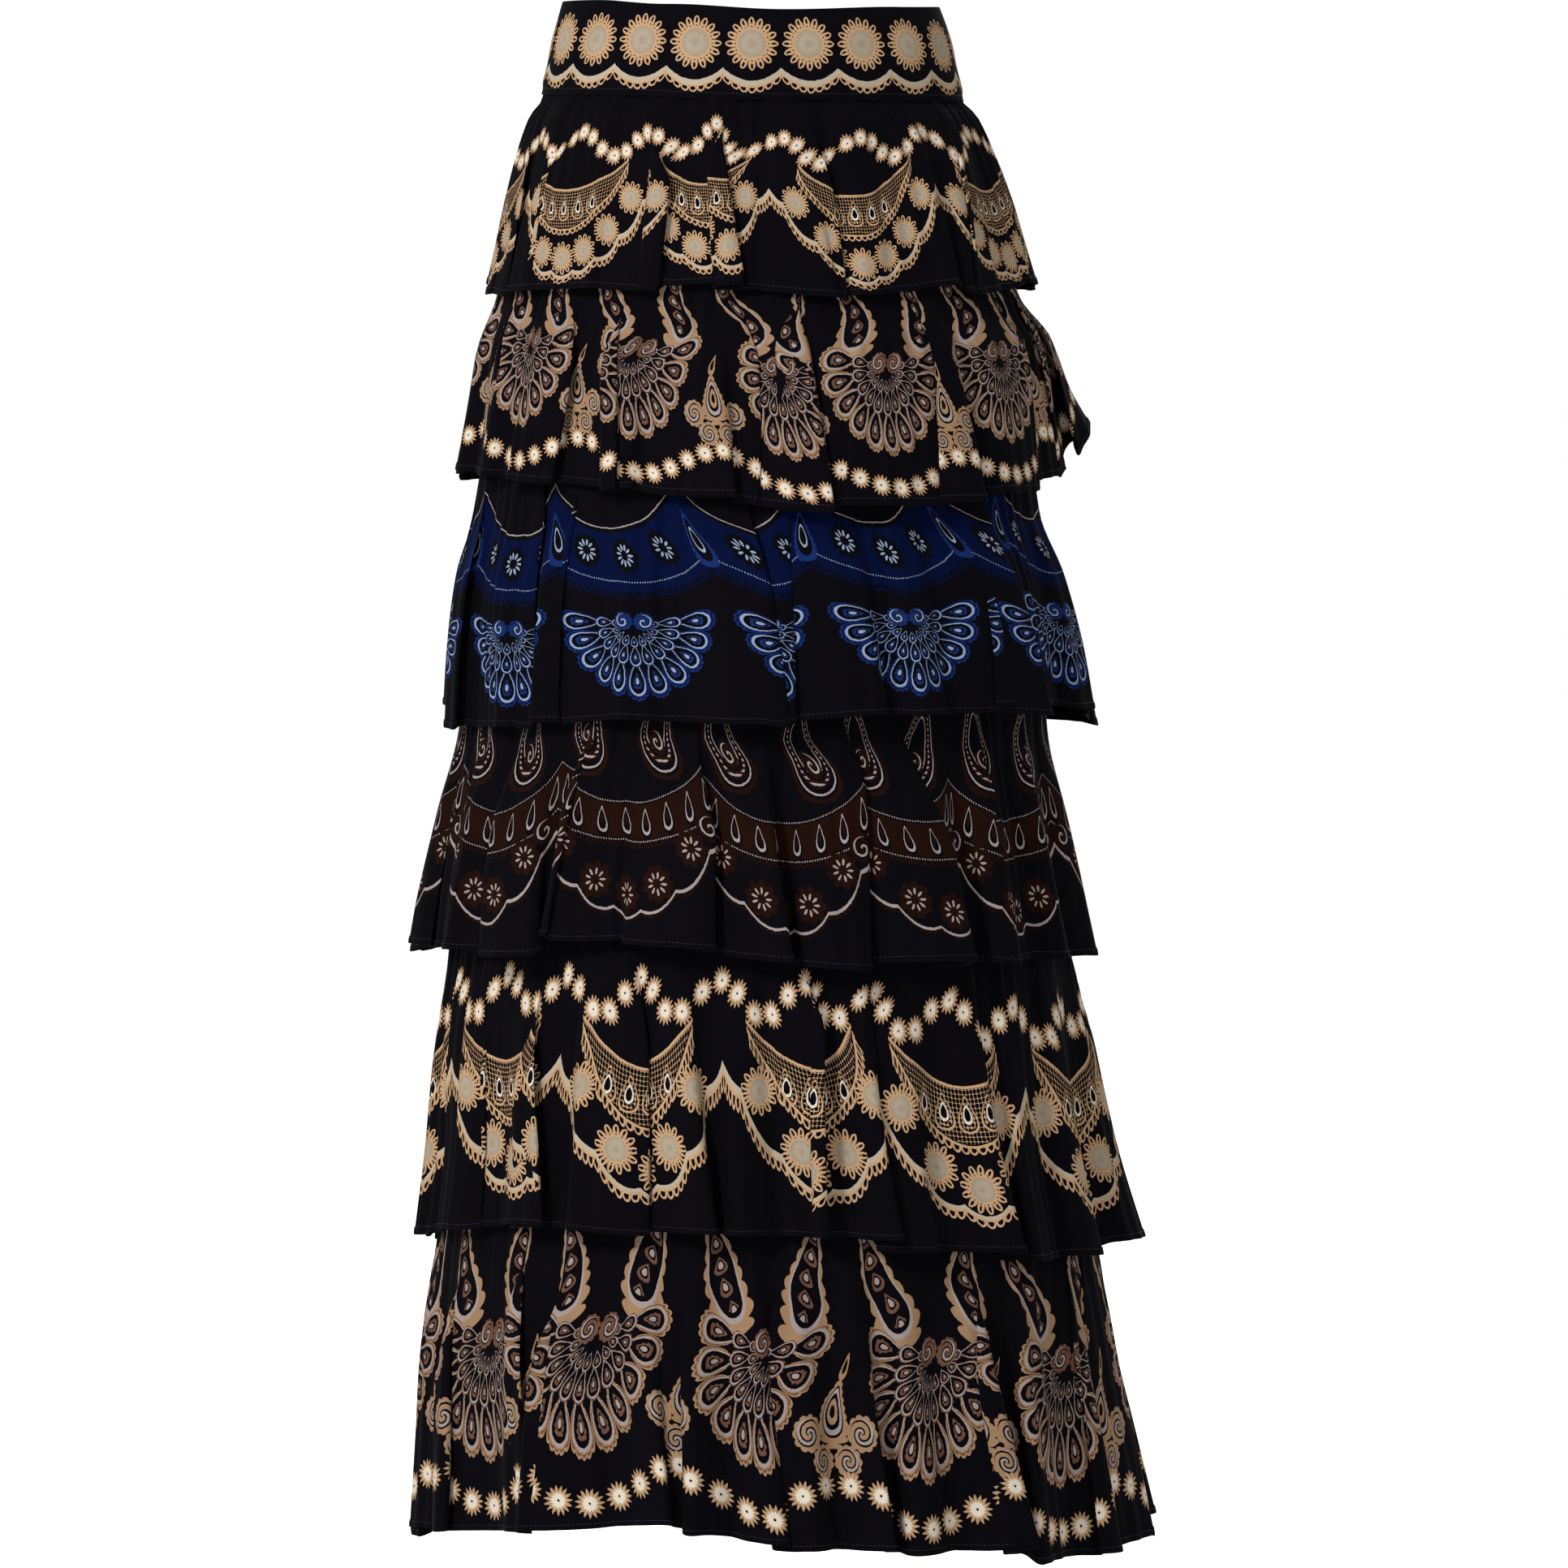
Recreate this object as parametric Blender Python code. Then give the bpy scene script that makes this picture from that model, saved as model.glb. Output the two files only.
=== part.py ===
"""A six-tier ruffled maxi skirt, filled out as if worn and hanging from its waistband.

Metres, +Z up, the front towards -Y, +X to the viewer's right. The origin is the middle of the waist, at half the
waistband's height, where the wearer holds the skirt up. Every flounce is a gathered strip sewn to the underskirt
beneath the hem of the flounce above it. The back repeats the front's folds, read round the other side.
"""

import math
from collections import namedtuple

import bmesh
import bpy

# Cloth thicknesses, and the parting between two pieces that are sewn together
BAND_WALL = 0.0020
TIER_WALL = 0.0012
UNDERSKIRT_WALL = 0.0010
SEAM_GAP = 0.0003

# How much narrower each ring is from front to back than from side to side: at the waist, and more per metre down
FLATTER_AT_WAIST = 0.030
FLATTER_PER_METRE = 0.019

# Columns of points across half of a plain ring, and where the points stand across one fold
BAND_COLUMNS = 36
UNDERSKIRT_COLUMNS = 24
FOLD_STEPS = (0.0, 0.25, 0.42, 0.58, 0.75)
SIDE_SEAM_VALLEY = 0.8

# A ring of cloth. height: of the ring. half_width: from its middle to its outer face at the side. centre: how far
# the skirt leans to the right there. fold: how far folds stand out from, and fall back behind, half_width.
Ring = namedtuple("Ring", "height half_width centre fold")

# A fold on the front. turn: degrees round from the middle of the front, to the right. depth: its crest, in shares
# of the ring's fold. lean: how far the crest tips over the next fold, in shares of its width. drop: how much lower
# than the rest its hem hangs.
Fold = namedtuple("Fold", "turn depth lean drop")

# A place where the hem swings out. reach and drop are added at the hem, over spread degrees either side.
Flare = namedtuple("Flare", "turn reach drop spread")

# A point of an edge that rises and dips round the waist
EdgePoint = namedtuple("EdgePoint", "turn height")

Tier = namedtuple("Tier", "name rings folds flares colour")

BAND_RINGS = (
    Ring(0.0322, 0.1256, -0.0010, 0.0),
    Ring(0.0066, 0.1338, 0.0000, 0.0),
    Ring(-0.0153, 0.1387, 0.0000, 0.0),
    Ring(-0.0370, 0.1448, 0.0000, 0.0),
)
BAND_ROWS = 3
BAND_TOP_EDGE = (
    EdgePoint(-90, 0.0318),
    EdgePoint(-55, 0.0322),
    EdgePoint(-25, 0.0290),
    EdgePoint(10, 0.0254),
    EdgePoint(50, 0.0274),
    EdgePoint(90, 0.0282),
    EdgePoint(180, 0.0262),
    EdgePoint(270, 0.0318),
)
BAND_LOWER_EDGE = (
    EdgePoint(-90, -0.0308),
    EdgePoint(-45, -0.0318),
    EdgePoint(0, -0.0352),
    EdgePoint(90, -0.0360),
    EdgePoint(180, -0.0345),
    EdgePoint(270, -0.0308),
)

UNDERSKIRT_RINGS = (
    Ring(-0.0215, 0.1348, 0.000, 0.0),
    Ring(-0.0350, 0.1381, 0.000, 0.0),
    Ring(-0.0450, 0.1435, 0.000, 0.0),
    Ring(-0.1350, 0.1640, 0.004, 0.0),
    Ring(-0.2350, 0.1790, 0.004, 0.0),
    Ring(-0.4050, 0.1890, 0.003, 0.0),
    Ring(-0.4600, 0.1900, 0.001, 0.0),
    Ring(-0.5600, 0.1995, 0.004, 0.0),
    Ring(-0.7550, 0.2095, 0.009, 0.0),
    Ring(-0.9620, 0.2250, 0.017, 0.0),
)

TIERS = (
    Tier(
        "tier_1",
        (
            Ring(-0.0255, 0.1382, 0.000, 0.0007),
            Ring(-0.0350, 0.1404, 0.000, 0.0008),
            Ring(-0.0450, 0.1483, 0.001, 0.0016),
            Ring(-0.0950, 0.1660, 0.003, 0.0024),
            Ring(-0.1605, 0.1820, 0.004, 0.0026),
        ),
        (
            Fold(-80, 1.0, 0.00, 0.004),
            Fold(-60, 0.7, 0.00, 0.001),
            Fold(-41, 1.0, 0.20, -0.001),
            Fold(-26, 0.7, 0.00, -0.001),
            Fold(-11, 1.3, 0.30, -0.006),
            Fold(9, 1.2, 0.30, 0.005),
            Fold(27, 1.0, -0.20, 0.004),
            Fold(41, 0.9, 0.20, -0.003),
            Fold(58, 1.1, -0.25, 0.003),
            Fold(79, 1.0, 0.00, -0.003),
        ),
        (Flare(94, 0.005, -0.003, 14),),
        (0.009, 0.008, 0.011),
    ),
    Tier(
        "tier_2",
        (
            Ring(-0.1350, 0.1665, 0.004, 0.0010),
            Ring(-0.1700, 0.1752, 0.004, 0.0014),
            Ring(-0.1980, 0.1880, 0.006, 0.0030),
            Ring(-0.2400, 0.1948, 0.006, 0.0045),
            Ring(-0.2823, 0.2010, 0.005, 0.0055),
        ),
        (
            Fold(-82, 0.9, 0.00, -0.001),
            Fold(-66, 0.7, 0.00, 0.002),
            Fold(-50, 1.0, -0.20, 0.004),
            Fold(-31, 1.1, 0.20, 0.008),
            Fold(-14, 1.3, 0.35, 0.014),
            Fold(6, 1.2, 0.35, 0.024),
            Fold(22, 0.9, -0.20, 0.020),
            Fold(39, 1.2, 0.30, 0.019),
            Fold(54, 0.8, -0.20, 0.013),
            Fold(74, 0.6, 0.20, 0.003),
        ),
        (Flare(103, 0.023, -0.034, 12),),
        (0.012, 0.010, 0.014),
    ),
    Tier(
        "tier_3",
        (
            Ring(-0.2350, 0.1815, 0.004, 0.0010),
            Ring(-0.3100, 0.1893, 0.003, 0.0018),
            Ring(-0.3550, 0.2020, 0.005, 0.0045),
            Ring(-0.4050, 0.2098, 0.008, 0.0060),
            Ring(-0.4495, 0.2140, 0.010, 0.0066),
        ),
        (
            Fold(-80, 0.9, 0.00, 0.004),
            Fold(-57, 0.9, 0.20, 0.001),
            Fold(-41, 1.0, -0.25, -0.003),
            Fold(-26, 0.8, 0.00, -0.006),
            Fold(-8, 1.3, 0.35, -0.004),
            Fold(6, 0.9, -0.10, -0.004),
            Fold(17, 1.0, 0.20, -0.010),
            Fold(29, 0.8, 0.00, -0.009),
            Fold(42, 1.4, 0.35, -0.009),
            Fold(59, 0.9, -0.20, -0.015),
            Fold(79, 1.0, 0.00, -0.009),
        ),
        (Flare(98, 0.008, 0.002, 14),),
        (0.012, 0.030, 0.120),
    ),
    Tier(
        "tier_4",
        (
            Ring(-0.4050, 0.1915, 0.003, 0.0010),
            Ring(-0.4600, 0.1975, 0.001, 0.0018),
            Ring(-0.5100, 0.2085, 0.000, 0.0050),
            Ring(-0.5650, 0.2190, 0.000, 0.0068),
            Ring(-0.6044, 0.2255, 0.001, 0.0080),
        ),
        (
            Fold(-80, 1.0, 0.00, -0.006),
            Fold(-63, 0.8, 0.00, -0.005),
            Fold(-45, 1.2, 0.30, -0.004),
            Fold(-31, 0.9, -0.30, -0.018),
            Fold(-17, 0.9, 0.00, -0.013),
            Fold(0, 1.3, 0.35, -0.002),
            Fold(12, 0.9, -0.10, 0.001),
            Fold(23, 1.2, 0.35, -0.002),
            Fold(36, 0.9, 0.00, 0.003),
            Fold(49, 1.1, -0.20, 0.001),
            Fold(65, 0.8, 0.00, 0.001),
            Fold(81, 1.0, 0.00, 0.003),
        ),
        (),
        (0.110, 0.045, 0.025),
    ),
    Tier(
        "tier_5",
        (
            Ring(-0.5600, 0.2020, 0.004, 0.0010),
            Ring(-0.6170, 0.2100, 0.005, 0.0018),
            Ring(-0.6750, 0.2180, 0.006, 0.0045),
            Ring(-0.7350, 0.2240, 0.009, 0.0068),
            Ring(-0.7977, 0.2345, 0.013, 0.0080),
        ),
        (
            Fold(-80, 0.7, 0.00, -0.004),
            Fold(-63, 0.7, 0.00, -0.011),
            Fold(-45, 1.0, 0.30, -0.019),
            Fold(-30, 0.9, -0.20, -0.017),
            Fold(-15, 1.3, 0.35, -0.017),
            Fold(-3, 0.9, 0.00, -0.015),
            Fold(7, 0.9, -0.20, -0.015),
            Fold(17, 1.3, 0.35, -0.012),
            Fold(27, 0.9, -0.10, -0.003),
            Fold(38, 1.4, 0.35, -0.001),
            Fold(52, 0.9, -0.25, 0.007),
            Fold(66, 1.0, 0.00, 0.007),
            Fold(81, 1.0, 0.00, 0.002),
        ),
        (Flare(99, 0.011, -0.004, 14),),
        (0.009, 0.008, 0.011),
    ),
    Tier(
        "tier_6",
        (
            Ring(-0.7550, 0.2120, 0.009, 0.0010),
            Ring(-0.8100, 0.2225, 0.011, 0.0016),
            Ring(-0.8650, 0.2290, 0.012, 0.0045),
            Ring(-0.9350, 0.2355, 0.017, 0.0075),
            Ring(-0.9975, 0.2415, 0.021, 0.0095),
        ),
        (
            Fold(-80, 0.9, 0.00, -0.006),
            Fold(-64, 0.8, 0.00, -0.008),
            Fold(-47, 1.0, 0.30, -0.014),
            Fold(-34, 0.9, -0.20, -0.017),
            Fold(-22, 1.0, 0.30, -0.024),
            Fold(-12, 0.8, -0.20, -0.018),
            Fold(-3, 1.2, 0.35, -0.012),
            Fold(6, 0.9, 0.00, -0.008),
            Fold(14, 1.2, 0.30, -0.007),
            Fold(23, 1.0, -0.25, -0.003),
            Fold(36, 1.3, 0.35, -0.005),
            Fold(50, 1.2, -0.35, 0.007),
            Fold(64, 0.8, 0.00, 0.006),
            Fold(80, 1.0, 0.00, 0.001),
        ),
        (Flare(96, 0.006, -0.003, 14),),
        (0.012, 0.010, 0.014),
    ),
)

# One column of points on a cloth strip. turn: degrees round. wave: from -1 behind the ring to 1 in front of it.
# lean: degrees that the column is moved at the hem. drop: how much lower it hangs at the hem.
Column = namedtuple("Column", "turn wave lean drop")


def between(start, end, share):
    return start + (end - start) * share


def eased(share):
    return (1 - math.cos(math.pi * share)) / 2


def ring_at(rings, height):
    """The ring at a height between two rows of a table, or beyond its ends."""
    upper, lower = rings[0], rings[1]
    for upper, lower in zip(rings, rings[1:]):
        if height >= lower.height:
            break
    share = (upper.height - height) / (upper.height - lower.height)
    return Ring(height, *(between(a, b, share) for a, b in zip(upper[1:], lower[1:])))


def edge_height(edge, turn):
    """The height of an edge at a turn, eased from one of its points to the next."""
    turn = (turn + 90) % 360 - 90
    for start, end in zip(edge, edge[1:]):
        if turn <= end.turn:
            share = (turn - start.turn) / (end.turn - start.turn)
            return between(start.height, end.height, eased(share))
    return edge[-1].height


def fold_edges(folds):
    """Where each fold starts, as the turn, the valley's depth and the hem's drop there, and where the last ends."""
    side_drop = (folds[0].drop + folds[-1].drop) / 2
    edges = [(-90, SIDE_SEAM_VALLEY, side_drop)]
    for left, right in zip(folds, folds[1:]):
        valley = min(1, (left.depth + right.depth) / 2)
        edges.append(((left.turn + right.turn) / 2, valley, (left.drop + right.drop) / 2))
    edges.append((90, SIDE_SEAM_VALLEY, side_drop))
    return edges


def fold_columns(folds):
    """The columns of half a flounce, from one side seam to the other."""
    columns = []
    edges = fold_edges(folds)
    for fold, start, end in zip(folds, edges, edges[1:]):
        for share in FOLD_STEPS:
            crest = (1 - math.cos(2 * math.pi * share)) / 2
            turn, valley, drop = (between(a, b, share) for a, b in zip(start, end))
            columns.append(
                Column(
                    turn,
                    crest * fold.depth - (1 - crest) * valley,
                    fold.lean * crest * (end[0] - start[0]),
                    between(drop, fold.drop, crest),
                )
            )
    turn, valley, drop = edges[-1]
    columns.append(Column(turn, -valley, 0, drop))
    return columns


def plain_columns(count):
    return [Column(-90 + 180 * k / count, 0, 0, 0) for k in range(count + 1)]


def on_ring(ring, turn, offset, height):
    """A point at a turn on a ring, moved out by offset."""
    across = ring.half_width + offset
    deep = across - FLATTER_AT_WAIST + FLATTER_PER_METRE * height
    angle = math.radians(turn)
    return ring.centre + across * math.sin(angle), -deep * math.cos(angle), height


def flared(flares, turn):
    """How far the flares move the hem out and down at a turn."""
    reach = drop = 0
    for flare in flares:
        away = abs((turn - flare.turn + 180) % 360 - 180) / flare.spread
        share = eased(max(0, 1 - away / 2))
        reach += flare.reach * share
        drop += flare.drop * share
    return reach, drop


def tier_row(tier, ring, columns, half_turn):
    """One row of a flounce's outer points. Folds, leans and drops grow from nothing at its seam to the hem."""
    top, hem = tier.rings[0].height, tier.rings[-1].height
    grown = (top - ring.height) / (top - hem)
    points = []
    for column in columns:
        turn = column.turn + half_turn + column.lean * grown
        reach, drop = flared(tier.flares, turn)
        offset = column.wave * ring.fold + reach * grown**2
        height = ring.height - (column.drop + drop) * grown**2
        points.append(on_ring(ring, turn, offset, height))
    return points


def underskirt_row(ring, columns, half_turn):
    return [on_ring(ring, column.turn + half_turn, 0, ring.height) for column in columns]


def band_row(share, columns, half_turn):
    """A row of the waistband, a share of the way from its top edge down to its lower edge."""
    points = []
    for column in columns:
        turn = column.turn + half_turn
        top = edge_height(BAND_TOP_EDGE, turn)
        height = between(top, edge_height(BAND_LOWER_EDGE, turn), share)
        points.append(on_ring(ring_at(BAND_RINGS, height), turn, 0, height))
    return points


def inward(row, k):
    """The level direction into the cloth at a point of a row. At a side seam it points straight across."""
    if k in (0, len(row) - 1):
        return (-1, 0) if row[k][0] > 0 else (1, 0)
    before, after = row[k - 1], row[k + 1]
    along = after[0] - before[0], after[1] - before[1]
    length = math.hypot(*along)
    return -along[1] / length, along[0] / length


def inner_row(row, wall):
    points = []
    for k, (x, y, z) in enumerate(row):
        way = inward(row, k)
        points.append((x + way[0] * wall, y + way[1] * wall, z))
    return points


def parted(row, half_turn):
    """The row with its two ends moved off the side seams, to its own side."""
    away = (SEAM_GAP if half_turn else -SEAM_GAP) / 2
    ends = (0, len(row) - 1)
    return [(x, away if k in ends else y, z) for k, (x, y, z) in enumerate(row)]


def cloth_mesh(name, rows, wall, half_turn):
    """A closed wall of cloth between the outer rows and the same rows moved in."""
    outer = [parted(row, half_turn) for row in rows]
    inner = [parted(inner_row(row, wall), half_turn) for row in rows]
    bm = bmesh.new()
    faces = [[[bm.verts.new(point) for point in row] for row in side] for side in (outer, inner)]
    last_row, last_column = len(rows) - 1, len(rows[0]) - 1
    for side in faces:
        for upper, lower in zip(side, side[1:]):
            for k in range(last_column):
                bm.faces.new((upper[k], lower[k], lower[k + 1], upper[k + 1]))
    out, back = faces
    for r in (0, last_row):
        for k in range(last_column):
            bm.faces.new((out[r][k], out[r][k + 1], back[r][k + 1], back[r][k]))
    for k in (0, last_column):
        for r in range(last_row):
            bm.faces.new((out[r][k], out[r + 1][k], back[r + 1][k], back[r][k]))
    bmesh.ops.recalc_face_normals(bm, faces=bm.faces)
    mesh = bpy.data.meshes.new(name)
    bm.to_mesh(mesh)
    bm.free()
    return mesh


def cloth_material(name, colour, roughness):
    material = bpy.data.materials.new(name)
    material.use_nodes = True
    shader = material.node_tree.nodes["Principled BSDF"]
    shader.inputs["Base Color"].default_value = (*colour, 1)
    shader.inputs["Roughness"].default_value = roughness
    shader.inputs["Metallic"].default_value = 0
    shader.inputs["Sheen Weight"].default_value = 0.15
    material.diffuse_color = (*colour, 1)
    return material


def add_piece(name, rows, wall, half_turn, material, parent):
    mesh = cloth_mesh(name, rows, wall, half_turn)
    mesh.materials.append(material)
    piece = bpy.data.objects.new(name, mesh)
    piece.parent = parent
    bpy.context.scene.collection.objects.link(piece)


def clear_scene():
    for old in list(bpy.data.objects):
        bpy.data.objects.remove(old, do_unlink=True)


def build_skirt():
    clear_scene()
    skirt = bpy.data.objects.new("maxi_skirt", None)
    bpy.context.scene.collection.objects.link(skirt)
    for side, half_turn in (("front", 0), ("back", 180)):
        columns = plain_columns(BAND_COLUMNS)
        rows = [band_row(k / BAND_ROWS, columns, half_turn) for k in range(BAND_ROWS + 1)]
        name = f"waistband_{side}"
        material = cloth_material(name, (0.010, 0.008, 0.012), 0.75)
        add_piece(name, rows, BAND_WALL, half_turn, material, skirt)

        columns = plain_columns(UNDERSKIRT_COLUMNS)
        rows = [underskirt_row(ring, columns, half_turn) for ring in UNDERSKIRT_RINGS]
        name = f"underskirt_{side}"
        material = cloth_material(name, (0.006, 0.006, 0.007), 0.6)
        add_piece(name, rows, UNDERSKIRT_WALL, half_turn, material, skirt)

        for tier in TIERS:
            columns = fold_columns(tier.folds)
            rows = [tier_row(tier, ring, columns, half_turn) for ring in tier.rings]
            name = f"{tier.name}_{side}"
            material = cloth_material(name, tier.colour, 0.8)
            add_piece(name, rows, TIER_WALL, half_turn, material, skirt)


if __name__ == "__main__":
    build_skirt()
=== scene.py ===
"""A six-tier ruffled maxi skirt in printed black crepe, hanging from its waistband, and its studio.

Metres, +Z up, the front towards -Y, +X to the viewer's right. Each flounce is one strip of thin cloth all
round, on the form of its solid, with its gathers, pipes and narrow hem. The prints are worked out from each
piece's own UV map, which runs in metres of cloth: u along the hem, v up from the lower edge.
"""

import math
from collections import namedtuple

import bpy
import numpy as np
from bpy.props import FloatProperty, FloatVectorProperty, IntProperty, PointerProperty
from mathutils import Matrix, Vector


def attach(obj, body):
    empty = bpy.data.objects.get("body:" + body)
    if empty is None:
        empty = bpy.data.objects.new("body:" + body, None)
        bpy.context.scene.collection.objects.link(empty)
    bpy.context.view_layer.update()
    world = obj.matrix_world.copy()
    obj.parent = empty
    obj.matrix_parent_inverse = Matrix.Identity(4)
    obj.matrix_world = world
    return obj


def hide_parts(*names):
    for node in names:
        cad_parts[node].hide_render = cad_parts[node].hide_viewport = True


bl_info = {
    "name": "Tiered Maxi Skirt",
    "version": (1, 0, 0),
    "blender": (4, 5, 0),
    "location": "3D View > Sidebar > Skirt",
    "description": "Makes the cloth, prints and stitching of a tiered maxi skirt",
    "category": "Object",
}

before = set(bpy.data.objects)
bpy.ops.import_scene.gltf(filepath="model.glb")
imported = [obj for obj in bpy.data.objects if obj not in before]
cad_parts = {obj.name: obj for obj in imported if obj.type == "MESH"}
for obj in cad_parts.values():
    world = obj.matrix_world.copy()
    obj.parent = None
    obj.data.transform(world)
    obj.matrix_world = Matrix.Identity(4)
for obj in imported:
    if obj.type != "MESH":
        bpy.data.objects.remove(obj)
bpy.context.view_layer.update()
BODY = "root"

# How much narrower each ring is from front to back than from side to side, and how much more per metre down
FLATTER_AT_WAIST = 0.030
FLATTER_PER_METRE = 0.019
SIDE_SEAM_VALLEY = 0.8

# A ring of cloth. height: of the ring. half_width: from its middle to its outer face at the side. centre:
# how far the skirt leans to the right there. fold: how far folds stand out from half_width, and fall back.
Ring = namedtuple("Ring", "height half_width centre fold")

# A fold on the front. turn: degrees round from the middle of the front, to the right. depth: its crest, in
# shares of the ring's fold. lean: how far the crest tips over the next fold, in shares of its width. drop:
# how much lower than the rest its hem hangs.
Fold = namedtuple("Fold", "turn depth lean drop")

# A place where the hem swings out. reach and drop are added at the hem, over spread degrees either side.
Flare = namedtuple("Flare", "turn reach drop spread")

# A point of an edge that rises and dips round the waist
EdgePoint = namedtuple("EdgePoint", "turn height")

# A print. scale: of its motifs. draw: the function that lays its inks. options: what that takes after period.
Pattern = namedtuple("Pattern", "scale draw options")

# columns: points round half of the strip. rows: points down it. repeats: of the print, all round.
Tier = namedtuple("Tier", "name rings folds flares columns rows repeats")

BAND_RINGS = (
    Ring(0.0322, 0.1256, -0.0010, 0.0),
    Ring(0.0066, 0.1338, 0.0000, 0.0),
    Ring(-0.0153, 0.1387, 0.0000, 0.0),
    Ring(-0.0370, 0.1448, 0.0000, 0.0),
)
BAND_TOP_EDGE = (
    EdgePoint(-90, 0.0318),
    EdgePoint(-55, 0.0322),
    EdgePoint(-25, 0.0290),
    EdgePoint(10, 0.0254),
    EdgePoint(50, 0.0274),
    EdgePoint(90, 0.0282),
    EdgePoint(180, 0.0262),
    EdgePoint(270, 0.0318),
)
BAND_LOWER_EDGE = (
    EdgePoint(-90, -0.0308),
    EdgePoint(-45, -0.0318),
    EdgePoint(0, -0.0352),
    EdgePoint(90, -0.0360),
    EdgePoint(180, -0.0345),
    EdgePoint(270, -0.0308),
)
BAND_COLUMNS = 576
BAND_ROWS = 18
BAND_FACE = 17  # the first row of its outer face, at the top edge
BAND_REPEATS = 20
BAND_EDGE_ANGLES = (0.6, 1.2, 1.94, 2.54)  # of the points round its top and lower edges, in radians
BAND_SEAM = 0.94  # how far down its face the seam to the skirt is
BAND_GROOVE = 0.0004  # how deep the stitches sink in there
BAND_TUCK = 0.0019  # how far its lower edge is drawn in
BAND_WAVES = (0.00045, 0.0003)  # how far its face waves, in its middle and towards its lower edge

LINING_THICKNESS = 0.0006
UNDERSKIRT_ROWS = 70  # of points, from its seam to its hem
UNDERSKIRT_RINGS = (
    Ring(-0.0215, 0.1348, 0.000, 0.0),
    Ring(-0.0350, 0.1381, 0.000, 0.0),
    Ring(-0.0450, 0.1435, 0.000, 0.0),
    Ring(-0.1350, 0.1640, 0.004, 0.0),
    Ring(-0.2350, 0.1790, 0.004, 0.0),
    Ring(-0.4050, 0.1890, 0.003, 0.0),
    Ring(-0.4600, 0.1900, 0.001, 0.0),
    Ring(-0.5600, 0.1995, 0.004, 0.0),
    Ring(-0.7550, 0.2095, 0.009, 0.0),
    Ring(-0.9620, 0.2250, 0.017, 0.0),
)

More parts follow.
